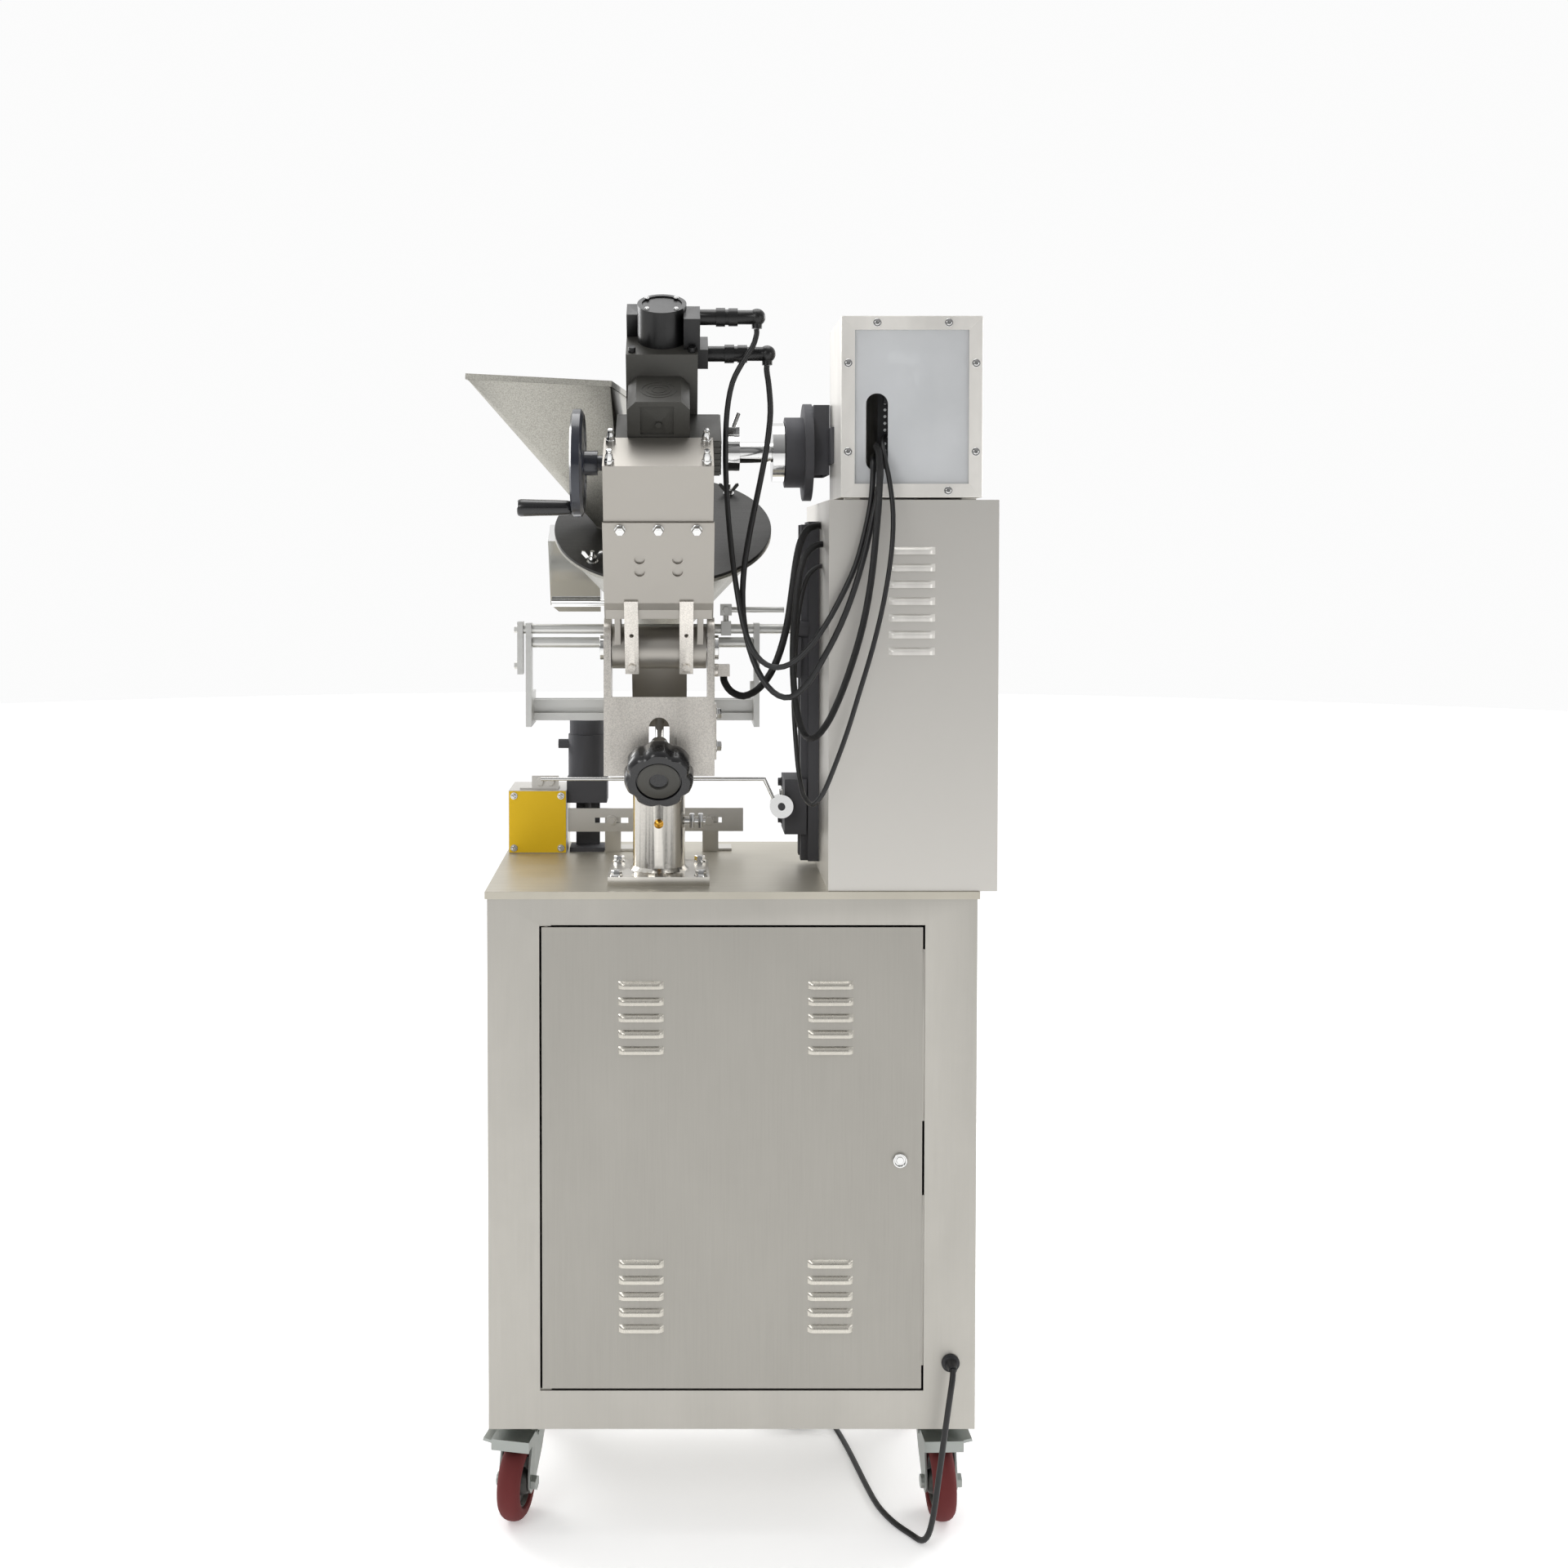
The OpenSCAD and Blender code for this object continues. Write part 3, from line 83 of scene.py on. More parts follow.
ORIGIN = (0.0, 0.0, 0.0)
FULL_TURN = 2 * math.pi
CREASE = math.radians(38)


class Aim(Enum):
    """Directions a repeated piece may face, in its own placement."""

    UP = (0, 0, 1)
    NEAR = (0, -1, 0)
    LEFT = (-1, 0, 0)
    RIGHT = (1, 0, 0)


class Grain(Enum):
    """How far a metal's brush marks are stretched along X, Y and Z."""

    UPRIGHT = (420.0, 420.0, 9.0)
    LEVEL = (9.0, 420.0, 420.0)
    CAST = (260.0, 260.0, 260.0)


def linear(red: float, green: float, blue: float, alpha: float = 1.0) -> tuple[float, ...]:
    """Turns display values from 0 to 255 into a linear colour.

    Args:
        red: Red as displayed.
        green: Green as displayed.
        blue: Blue as displayed.
        alpha: Opacity from 0 to 1.

    Returns:
        The four linear channels.
    """
    parts = [c / 255 for c in (red, green, blue)]
    return (*[c / 12.92 if c <= 0.04045 else ((c + 0.055) / 1.055) ** 2.4 for c in parts], alpha)


def shade(colour: Sequence[float], share: float) -> tuple[float, float, float]:
    """Returns a displayed colour made lighter or darker by a share."""
    return tuple(min(255.0, c * share) for c in colour)


class Recipe:
    """A material's node tree while it is put together."""

    def __init__(self, name: str) -> None:
        """Starts an empty material that ends in one Principled shader."""
        self.material = bpy.data.materials.new(name)
        self.material.use_nodes = True
        self.tree = self.material.node_tree
        self.shader = self.tree.nodes["Principled BSDF"]

    def node(self, kind: str, sockets: dict | None = None, **settings: object) -> bpy.types.Node:
        """Adds a node.

        Args:
            kind: Blender's name of the node's type.
            sockets: Value, or socket to link from, for each named input.
            **settings: Attributes of the node itself.

        Returns:
            The new node.
        """
        made = self.tree.nodes.new(kind)
        for key, value in settings.items():
            setattr(made, key, value)
        for key, value in (sockets or {}).items():
            self.feed(made.inputs[key], value)
        return made

    def feed(self, socket: Socket, value: object) -> None:
        """Links a socket to another one, or sets its value."""
        if isinstance(value, Socket):
            self.tree.links.new(value, socket)
        else:
            socket.default_value = value

    def set(self, **values: object) -> None:
        """Sets inputs of the shader; an underscore stands for a space."""
        for key, value in values.items():
            self.feed(self.shader.inputs[key.replace("_", " ")], value)

    def place(self, scale: Point, source: str = "Object") -> Socket:
        """Returns stretched coordinates of the piece."""
        where = self.node("ShaderNodeTexCoord").outputs[source]
        return self.node("ShaderNodeMapping", {"Vector": where, "Scale": scale}).outputs[0]

    def noise(self, scale: Point, detail: float = 3.0, rough: float = 0.55,
              twist: float = 0.0) -> Socket:
        """Returns cloudy values from 0 to 1 at a scale given for each axis."""
        sockets = {"Vector": self.place(scale), "Scale": 1.0, "Detail": detail, "Roughness": rough,
                   "Distortion": twist}
        return self.node("ShaderNodeTexNoise", sockets).outputs[0]

    def span(self, value: Socket, low: float, high: float, start: float = 0.3,
             end: float = 0.7) -> Socket:
        """Maps a value between start and end onto low to high."""
        sockets = {"Value": value, "From Min": start, "From Max": end, "To Min": low, "To Max": high}
        return self.node("ShaderNodeMapRange", sockets).outputs[0]

    def ramp(self, value: Socket, stops: Iterable[tuple[float, Sequence[float]]]) -> Socket:
        """Colours a value by stops of (place, displayed colour)."""
        made = self.node("ShaderNodeValToRGB", {"Fac": value})
        points = made.color_ramp.elements
        stops = list(stops)
        while len(points) < len(stops):
            points.new(0.5)
        for point, (where, colour) in zip(points, stops):
            point.position = where
            point.color = linear(*colour)
        return made.outputs[0]

    def darken(self, tone: Socket, value: Socket, least: float, start: float,
               end: float) -> Socket:
        """Darkens a colour to a least share where a value is below end."""
        share = self.ramp(value, [(start, shade((255, 255, 255), least)), (end, (255, 255, 255))])
        blend = self.node("ShaderNodeMix", data_type="RGBA", blend_type="MULTIPLY")
        for key, source in ((0, 1.0), (6, tone), (7, share)):
            self.feed(blend.inputs[key], source)
        return blend.outputs[2]

    def bump(self, height: Socket, strength: float, depth: float) -> Socket:
        """Returns a normal raised by a height."""
        sockets = {"Height": height, "Strength": strength, "Distance": depth}
        return self.node("ShaderNodeBump", sockets).outputs[0]


@dataclass(frozen=True)
class Finish:
    """One finish of the machine; the subclasses say how it is made."""

    name: str
    slot: str
    colour: tuple[float, float, float]
    roughness: float = 0.4

    def material(self) -> bpy.types.Material:
        """Returns the finish's material, made on first use."""
        found = bpy.data.materials.get(self.name)
        if found is not None:
            return found
        recipe = Recipe(self.name)
        self.mix(recipe)
        return recipe.material

    def mix(self, recipe: Recipe) -> None:
        """Fills in the recipe; each finish has its own."""
        recipe.set(Base_Color=linear(*self.colour), Roughness=self.roughness)


@dataclass(frozen=True)
class SheetMetal(Finish):
    """Brushed or ground metal with faint handling marks."""

    grain: Grain = Grain.UPRIGHT
    metallic: float = 0.85
    cloud: float = 0.05
    marks: float = 0.06
    speckle: float = 0.0
    smear: float = 0.0

    def mix(self, recipe: Recipe) -> None:
        """Lays brush marks, clouds, smears and speckle over the metal."""
        lines = recipe.noise(self.grain.value, 4, 0.6)
        clouds = recipe.noise((5, 5, 3.2), 4, 0.6, 0.6)
        tone = recipe.ramp(clouds, [
            (0.3, shade(self.colour, 1 - self.cloud)), (0.52, self.colour),
            (0.72, shade(self.colour, 1 + self.cloud))])
        if self.speckle:
            tone = recipe.darken(tone, recipe.noise((620, 620, 620), 2, 0.7), 1 - self.speckle, 0.38, 0.6)
        if self.smear:
            tone = recipe.darken(tone, recipe.noise((9, 9, 1.4), 3, 0.5, 0.9), 1 - self.smear, 0.4, 0.56)
        worn = recipe.span(lines, self.roughness - self.marks, self.roughness + self.marks)
        recipe.set(Base_Color=tone, Metallic=self.metallic, Roughness=worn)
        recipe.set(Normal=recipe.bump(lines, 0.12, 0.00012))


@dataclass(frozen=True)
class Moulded(Finish):
    """Plastic, paint or enamel with a fine skin."""

    skin: float = 900.0
    depth: float = 0.0001
    coat: float = 0.0
    metallic: float = 0.0
    dust: float = 0.12

    def mix(self, recipe: Recipe) -> None:
        """Lays a fine grain and a little dust over the colour."""
        grain = recipe.noise((self.skin,) * 3, 2, 0.5)
        dust = recipe.noise((22, 22, 22), 4, 0.65, 0.4)
        lighter = shade([c + 14 * self.dust for c in self.colour], 1 + self.dust)
        tone = recipe.ramp(dust, [(0.35, self.colour), (0.75, lighter)])
        worn = recipe.span(dust, self.roughness - 0.05, self.roughness + 0.08)
        recipe.set(Base_Color=tone, Metallic=self.metallic, Roughness=worn, Coat_Weight=self.coat)
        recipe.set(Coat_Roughness=0.08, Normal=recipe.bump(grain, 0.25, self.depth))


@dataclass(frozen=True)
class Sheath(Finish):
    """Rubber or corrugated sheath of a cable, drawn along its own map."""

    ribs: float = 0.0

    def mix(self, recipe: Recipe) -> None:
        """Lays a soft sheen and, on corrugated tube, rings along the length."""
        dust = recipe.noise((60, 60, 60), 3, 0.6)
        tone = recipe.ramp(dust, [(0.35, self.colour), (0.8, shade([c + 8 for c in self.colour], 1.15))])
        recipe.set(Base_Color=tone, Roughness=recipe.span(dust, self.roughness - 0.06, self.roughness + 0.06))
        if self.ribs:
            along = recipe.place((0, self.ribs, 0), source="UV")
            sockets = {"Vector": along, "Scale": 1.0}
            wave = recipe.node("ShaderNodeTexWave", sockets, bands_direction="Y").outputs[1]
            recipe.set(Normal=recipe.bump(wave, 0.9, 0.0008))
        else:
            recipe.set(Normal=recipe.bump(recipe.noise((1400, 1400, 1400), 2), 0.15, 0.0001))


@dataclass(frozen=True)
class Tyre(Finish):
    """Cast tyre whose running surface has worn to another colour."""

    tread: tuple[float, float, float] = (112, 106, 74)

    def mix(self, recipe: Recipe) -> None:
        """Colours the tyre by the map's distance from the axle."""
        where = recipe.node("ShaderNodeTexCoord").outputs["UV"]
        radius = recipe.node("ShaderNodeSeparateXYZ", {"Vector": where}).outputs[1]
        uneven = recipe.noise((90, 90, 90), 4, 0.7)
        terms = {0: radius, 1: recipe.span(uneven, -0.06, 0.06)}
        edge = recipe.node("ShaderNodeMath", terms, operation="ADD").outputs[0]
        tone = recipe.ramp(edge, [
            (0.0, shade(self.colour, 0.8)), (0.62, self.colour), (0.84, self.colour), (0.93, self.tread)])
        recipe.set(Base_Color=tone, Roughness=recipe.span(uneven, self.roughness - 0.05, self.roughness + 0.15))
        recipe.set(Normal=recipe.bump(recipe.noise((700, 700, 700), 3), 0.25, 0.0003))


@dataclass(frozen=True)
class Acrylic(Finish):
    """Milky clear sheet."""

    opacity: float = 0.62

    def mix(self, recipe: Recipe) -> None:
        """Makes a glossy sheet that lets some light through."""
        haze = recipe.noise((9, 9, 9), 3, 0.5)
        tone = recipe.ramp(haze, [(0.3, shade(self.colour, 0.97)), (0.7, shade(self.colour, 1.03))])
        recipe.set(Base_Color=tone, Roughness=recipe.span(haze, self.roughness, self.roughness + 0.05))
        recipe.set(Alpha=self.opacity, Normal=recipe.bump(haze, 0.05, 0.0005))


CABINET = SheetMetal("grey_sheet", "frame_steel", (184, 181, 174), 0.42, marks=0.05, cloud=0.025)
DOOR = SheetMetal("door_sheet", "frame_steel", (172, 169, 162), 0.5, metallic=0.7, cloud=0.015)
# The door's louvres: the door sheet's grey made lighter, a painted highlight on the pressed hoods.
LOUVRE_HIGHLIGHT_SHEET = SheetMetal("louvre_sheet_painted_highlight", "frame_steel", (206, 202, 192), 0.3, cloud=0.03)
TABLE = SheetMetal("table_sheet", "frame_steel", (196, 191, 178), 0.4, Grain.LEVEL,
    metallic=0.75, cloud=0.03)
BRIGHT = SheetMetal("bright_sheet", "bright_sheet", (243, 238, 226), 0.3, metallic=0.75,
    cloud=0.04, marks=0.08, smear=0.16)
BOX = SheetMetal("box_sheet", "bright_sheet", (247, 244, 238), 0.34, Grain.CAST,
    metallic=0.45, cloud=0.03, smear=0.06)
HOPPER = SheetMetal("hopper_sheet", "bright_sheet", (172, 170, 162), 0.36, cloud=0.06, speckle=0.14)
HEAD_STEEL = SheetMetal("head_steel", "head_steel", (178, 172, 160), 0.36, cloud=0.07,
    speckle=0.2, smear=0.16)
LID_STEEL = SheetMetal("lid_steel", "head_steel", (44, 43, 41), 0.38, Grain.LEVEL,
    metallic=0.5, cloud=0.1, speckle=0.2)
BRACKET = SheetMetal("bracket_steel", "frame_steel", (232, 227, 219), 0.32, metallic=0.8,
    cloud=0.05, speckle=0.1, smear=0.08)
TUBE = SheetMetal("turned_tube", "frame_steel", (232, 228, 220), 0.2, Grain.LEVEL,
    metallic=1.0, cloud=0.05, smear=0.1)
POLISHED = SheetMetal("polished_steel", "polished_steel", (226, 225, 220), 0.14,
    metallic=1.0, marks=0.03)
ZINC = SheetMetal("zinc_plate", "zinc_plate", (158, 162, 156), 0.4, Grain.CAST, cloud=0.1)
DARK = SheetMetal("dark_steel", "dark_steel", (46, 44, 42), 0.32, Grain.CAST, metallic=0.8, cloud=0.1)
ALUMINIUM = SheetMetal("drawn_aluminium", "aluminium_parts", (212, 212, 209), 0.38,
    Grain.LEVEL, cloud=0.02)
BRASS = SheetMetal("nipple_brass", "polished_steel", (196, 148, 62), 0.25, Grain.CAST, metallic=1.0)
CAST_GREY = Moulded("cast_grey", "gear_grey", (64, 63, 59), 0.4, skin=420, depth=0.0003,
    metallic=0.2, dust=0.08)
MOTOR = Moulded("motor_black", "black_paint", (7, 7, 8), 0.34, skin=700, dust=0.03)
ENAMEL = Moulded("crank_enamel", "blue_black_enamel", (24, 28, 38), 0.28, coat=0.5, dust=0.2)
YELLOW = Moulded("switch_yellow", "yellow_paint", (244, 200, 0), 0.5, skin=300, depth=0.0004, dust=0.0)
BAKELITE = Moulded("knob_black", "black_plastic", (17, 17, 19), 0.26, coat=0.3)
PLASTIC = Moulded("housing_black", "black_plastic", (22, 23, 25), 0.42)
LABEL = Moulded("plain_label", "black_plastic", (196, 198, 198), 0.5, dust=0.02)
RUBBER = Sheath("cable_sheath", "black_rubber", (15, 15, 16), 0.42)
CORRUGATED = Sheath("corrugated_tube", "black_rubber", (16, 16, 17), 0.4, ribs=55.0)
TYRE = Tyre("maroon_tyre", "maroon_tyre", (118, 36, 36), 0.38)
CLEAR = Acrylic("milky_acrylic", "clear_acrylic", (236, 238, 240), 0.06, opacity=0.5)


class Shape:
    """A mesh under construction, in millimetres of one placement."""

    def __init__(self, place: Matrix = FLOOR) -> None:
        """Starts empty; place turns millimetres into the frame's metres."""
        self.place = place
        self.mesh = bmesh.new()

    def box(self, low: Point, high: Point) -> "Shape":
        """Adds a box between two corners."""
        xs, ys, zs = zip(low, high)
        made = [self.mesh.verts.new((x, y, z)) for x in xs for y in ys for z in zs]
        for face in ((0, 1, 3, 2), (4, 6, 7, 5), (0, 4, 5, 1), (2, 3, 7, 6), (0, 2, 6, 4), (1, 5, 7, 3)):
            self.mesh.faces.new([made[k] for k in face])
        return self

    def lathe(self, profile: Sequence[Point], centre: Point = ORIGIN, axis: Point = (0, 0, 1),
              steps: int = 48, ring: bool = False) -> "Shape":
        """Turns a profile round an axis.

        Args:
            profile: Points of (radius, height), from the low end to the high one.
            centre: Where height is 0.
            axis: Direction of height.
            steps: Sides of the turned shape.
            ring: Whether the profile closes on itself.

        Returns:
            This shape.
        """
        turned = Matrix.Translation(centre) @ Vector(axis).to_track_quat("Z", "Y").to_matrix().to_4x4()
        rows = []
        for radius, height in profile:
            count = 1 if radius < 1e-6 else steps
            angles = [FULL_TURN * k / steps for k in range(count)]
            rows.append([
                self.mesh.verts.new(turned @ Vector((radius * math.cos(a), radius * math.sin(a), height)))
                for a in angles])
        for low, high in zip(rows, rows[1:] + (rows[:1] if ring else [])):
            for k in range(steps):
                n = (k + 1) % steps
                quad = [low[k % len(low)], low[n % len(low)], high[n % len(high)], high[k % len(high)]]
                face = list(dict.fromkeys(quad))
                if len(face) > 2:
                    self.mesh.faces.new(face)
        return self

    def rod(self, start: Point, end: Point, radius: float, steps: int = 24) -> "Shape":
        """Adds a plain round bar between two points."""
        line = Vector(end) - Vector(start)
        return self.lathe([(0, 0), (radius, 0), (radius, line.length), (0, line.length)], start, line, steps)

    def prism(self, outline: Sequence[Point], depth: float, place: Matrix = Matrix.Identity(4)) -> "Shape":
        """Raises a flat outline, given anticlockwise, by a depth."""
        rows = [[self.mesh.verts.new(place @ Vector((x, y, z))) for x, y in outline] for z in (0, depth)]
        self.mesh.faces.new(rows[0][::-1])
        self.mesh.faces.new(rows[1])
        for k in range(len(outline)):
            n = (k + 1) % len(outline)
            self.mesh.faces.new([rows[0][k], rows[0][n], rows[1][n], rows[1][k]])
        return self

    def data(self, name: str) -> bpy.types.Mesh:
        """Returns the finished mesh in metres, faces pointing outwards."""
        bmesh.ops.recalc_face_normals(self.mesh, faces=self.mesh.faces)
        made = bpy.data.meshes.new(name)
        self.mesh.to_mesh(made)
        self.mesh.free()
        made.transform(self.place)
        return made


def soften(made: bpy.types.Object, width: float) -> None:
    """Rounds a piece's edges and smooths its curved faces."""
    made.data.shade_smooth()
    made.data.set_sharp_from_angle(angle=CREASE)
    if width:
        edge = made.modifiers.new("edges", "BEVEL")
        edge.width = width * MM
        edge.segments = 2
        edge.limit_method = "ANGLE"
        edge.angle_limit = CREASE
        edge.use_clamp_overlap = True
        edge.harden_normals = True


def piece(name: str, data: bpy.types.Mesh, body: str, finish: Finish, bevel: float = 0.4,
          stands_for: Sequence[str] = ()) -> bpy.types.Object:
    """Makes a finished piece of the machine.

    Args:
        name: The piece's name.
        data: Its mesh, in the frame's metres.
        body: The body it moves with.
        finish: What it is made of.
        bevel: Width of its rounded edges in millimetres.
        stands_for: CAD nodes it is shown in place of.

    Returns:
        The new object.
    """
    made = bpy.data.objects.new(name, data)
    bpy.context.scene.collection.objects.link(made)
    data.materials.clear()
    data.materials.append(finish.material())
    soften(made, bevel)
    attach(made, body)
    if stands_for:
        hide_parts(*stands_for)
    LOG.info("piece %s: %d faces on %s", name, len(data.polygons), body)
    return made


class Repeater:
    """Geometry Nodes that set copies of one part on marked points."""

    def __init__(self) -> None:
        """Builds the tree once."""
        tree = self.tree = bpy.data.node_groups.new("set_on_points", "GeometryNodeTree")
        face = tree.interface
        kinds = {"Points": "Geometry", "Part": "Object", "Size": "Float", "Finish": "Material"}
        self.keys = {
            name: face.new_socket(name, in_out="INPUT", socket_type="NodeSocket" + kind).identifier
            for name, kind in kinds.items()}
        face.new_socket("Pieces", in_out="OUTPUT", socket_type="NodeSocketGeometry")
        new = tree.nodes.new
        source, sink = new("NodeGroupInput"), new("NodeGroupOutput")
        part, copies = new("GeometryNodeObjectInfo"), new("GeometryNodeInstanceOnPoints")
        real, coat = new("GeometryNodeRealizeInstances"), new("GeometryNodeSetMaterial")
        turns = []
        for attribute, axis, pivot in (("aim", "Z", "AUTO"), ("side", "X", "Z")):
            read, turn = new("GeometryNodeInputNamedAttribute"), new("FunctionNodeAlignRotationToVector")
            read.data_type = "FLOAT_VECTOR"
            read.inputs["Name"].default_value = attribute
            turn.axis, turn.pivot_axis = axis, pivot
            tree.links.new(read.outputs[0], turn.inputs["Vector"])
            turns.append(turn)
        for start, end in (
            (source.outputs["Points"], copies.inputs["Points"]),
            (source.outputs["Part"], part.inputs["Object"]),
            (part.outputs["Geometry"], copies.inputs["Instance"]),
            (turns[0].outputs[0], turns[1].inputs["Rotation"]),
            (turns[1].outputs[0], copies.inputs["Rotation"]),
            (source.outputs["Size"], copies.inputs["Scale"]),
            (copies.outputs[0], real.inputs[0]),
            (real.outputs[0], coat.inputs["Geometry"]),
            (source.outputs["Finish"], coat.inputs["Material"]),
            (coat.outputs[0], sink.inputs[0]),
        ):
            tree.links.new(start, end)

    def spread(self, name: str, part: Shape, spots: Sequence[tuple[Point, Aim]], place: Matrix,
               body: str, finish: Finish, stands_for: Sequence[str] = ()) -> bpy.types.Object:
        """Sets a part on each spot and makes one plain piece of the copies.

        Args:
            name: The piece's name.
            part: The shape to repeat, its foot at the origin and facing up.
            spots: Each copy's place in millimetres and the way it faces.
            place: Placement of the spots.
            body: The body they ride on.
            finish: What they are made of.
            stands_for: CAD nodes the copies are shown in place of.

        Returns:
            The piece.
        """
        unit = bpy.data.objects.new(name + "_unit", part.data(name + "_unit"))
        bpy.context.scene.collection.objects.link(unit)
        dots = bpy.data.meshes.new(name + "_dots")
        dots.from_pydata([place @ Vector(where) for where, _ in spots], [], [])
        turned = place.to_3x3().normalized()
        for key, pick in (
                ("aim", lambda a: Vector(a.value)),
                ("side", lambda a: Vector((0, 1, 0) if a.value[0] else (1, 0, 0)))):
            values = dots.attributes.new(key, "FLOAT_VECTOR", "POINT").data
            values.foreach_set("vector", [c for _, aim in spots for c in turned @ pick(aim)])
        carrier = bpy.data.objects.new(name + "_carrier", dots)
        bpy.context.scene.collection.objects.link(carrier)
        setter = carrier.modifiers.new("set", "NODES")
        setter.node_group = self.tree
        setter[self.keys["Part"]] = unit
        setter[self.keys["Size"]] = 1.0
        setter[self.keys["Finish"]] = finish.material()
        bpy.context.view_layer.update()
        seen = carrier.evaluated_get(bpy.context.evaluated_depsgraph_get())
        data = bpy.data.meshes.new_from_object(seen)
        data.name = name
        for extra in (carrier, unit):
            bpy.data.objects.remove(extra)
        return piece(name, data, body, finish, 0.0, stands_for)


class Frame:
    """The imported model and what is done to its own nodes."""

    def __init__(self, loaded: dict) -> None:
        """Keeps the nodes and the body that each one moves with."""
        self.nodes = loaded["nodes"]
        groups = loaded["record"]["behaviour"]["bodies"]
        self.body = {node: body for body, nodes in groups.items() for node in nodes}

    def coat(self, node: str, finish: Finish) -> None:
        """Gives a node that stays as it is its material."""
        shown = self.nodes[node]
        if not shown.material_slots:
            shown.data.materials.append(None)
        for slot in shown.material_slots:
            slot.material = finish.material()

    def dress(self, node: str, finish: Finish, bevel: float = 0.8,
              cut: Callable[[Vector], bool] | None = None) -> bpy.types.Object:
        """Shows a rounded copy of a node in its place.

        Args:
            node: The CAD node.
            finish: What it is made of.
            bevel: Width of its rounded edges in millimetres.
            cut: Says which of its points, in millimetres, to leave out.

        Returns:
            The piece that stands for the node.
        """
        mesh = bmesh.new()
        mesh.from_mesh(self.nodes[node].data)
        bmesh.ops.remove_doubles(mesh, verts=mesh.verts, dist=2e-6)
        if cut is not None:
            inverse = FLOOR.inverted()
            gone = [v for v in mesh.verts if cut(inverse @ v.co)]
            bmesh.ops.delete(mesh, geom=gone, context="VERTS")
            rim = [e for e in mesh.edges if e.is_boundary]
            bmesh.ops.holes_fill(mesh, edges=rim, sides=0)
        flat = math.radians(1.5)
        bmesh.ops.dissolve_limit(mesh, angle_limit=flat, verts=mesh.verts, edges=mesh.edges)
        data = bpy.data.meshes.new(node + "_skin")
        mesh.to_mesh(data)
        mesh.free()
        return piece(node + "_skin", data, self.body[node], finish, bevel, [node])


@dataclass
class Studio:
    """Camera, soft light and floor."""

    eye: Point = (-0.0743, -2.4506, 1.3203)
    pitch: float = 1.74
    lens: float = 40.125
    shift: Point = (0.06875, -0.11458)

    def camera(self) -> None:
        """Sets the camera at the viewing place."""
        data = bpy.data.cameras.new("view")
        data.lens = self.lens
        data.sensor_width = 36
        data.shift_x, data.shift_y = self.shift
        made = bpy.data.objects.new("view", data)
        made.location = self.eye
        made.rotation_euler = (math.radians(90 - self.pitch), 0, 0)
        bpy.context.scene.collection.objects.link(made)
        bpy.context.scene.camera = made

    @staticmethod
    def sky(tree: bpy.types.NodeTree) -> None:
        """Makes the world bright behind the machine and dimmer before it.

        Args:
            tree: The world's node tree.
        """
        new, link = tree.nodes.new, tree.links.new
        parts = new("ShaderNodeSeparateXYZ")
        link(new("ShaderNodeTexCoord").outputs["Generated"], parts.inputs[0])
        spans = []
        for axis, start, end, low, high in ((1, -0.7, 0.6, 0.16, 0.8), (2, -0.1, 1.0, 0.0, 0.35)):
            span = new("ShaderNodeMapRange")
            link(parts.outputs[axis], span.inputs["Value"])
            for key, value in (("From Min", start), ("From Max", end), ("To Min", low), ("To Max", high)):
                span.inputs[key].default_value = value
            spans.append(span)
        total = new("ShaderNodeMath")
        link(spans[0].outputs[0], total.inputs[0])
        link(spans[1].outputs[0], total.inputs[1])
        seen = new("ShaderNodeMix")
        link(new("ShaderNodeLightPath").outputs["Is Camera Ray"], seen.inputs[0])
        link(total.outputs[0], seen.inputs[2])
        seen.inputs[3].default_value = 0.97
        link(seen.outputs[0], tree.nodes["Background"].inputs[1])
        tree.nodes["Background"].inputs[0].default_value = (1.0, 1.0, 1.0, 1.0)

    def light(self) -> None:
        """Sets soft lamps all round and a pale floor."""
        scene = bpy.context.scene
        scene.view_settings.view_transform = "Standard"
        world = bpy.data.worlds.new("studio")
        scene.world = world
        world.use_nodes = True
        self.sky(world.node_tree)
        aim = Vector((0, 0, 0.9))
        for name, where, size, power in (
                ("key", (-1.8, -2.6, 2.6), 1.3, 24), ("fill", (2.3, -2.4, 1.6), 0.9, 9),
                ("rim_left", (-2.0, 1.8, 2.0), 1.2, 30), ("rim_right", (2.0, 1.6, 1.8), 1.2, 26),
                ("top", (0, 0.3, 3.4), 1.6, 24)):
            lamp = bpy.data.lights.new(name, "AREA")
            lamp.size = size
            lamp.energy = power
            made = bpy.data.objects.new(name, lamp)
            made.location = where
            made.rotation_euler = (aim - Vector(where)).to_track_quat("-Z", "Y").to_euler()
            scene.collection.objects.link(made)
        disc = Shape(Matrix.Identity(4)).lathe([(0, -0.02), (14, -0.02), (14, 0), (0, 0)], steps=96)
        floor = bpy.data.objects.new("floor", disc.data("floor"))
        recipe = Recipe("pale_floor")
        speck = recipe.noise((3, 3, 3), 4)
        tone = recipe.ramp(speck, [(0.3, (246, 246, 246)), (0.7, (250, 250, 250))])
        recipe.set(Base_Color=tone, Roughness=0.6)
        recipe.set(Emission_Color=(1.0, 1.0, 1.0, 1.0), Emission_Strength=0.32)
        floor.data.materials.append(recipe.material)
        scene.collection.objects.link(floor)


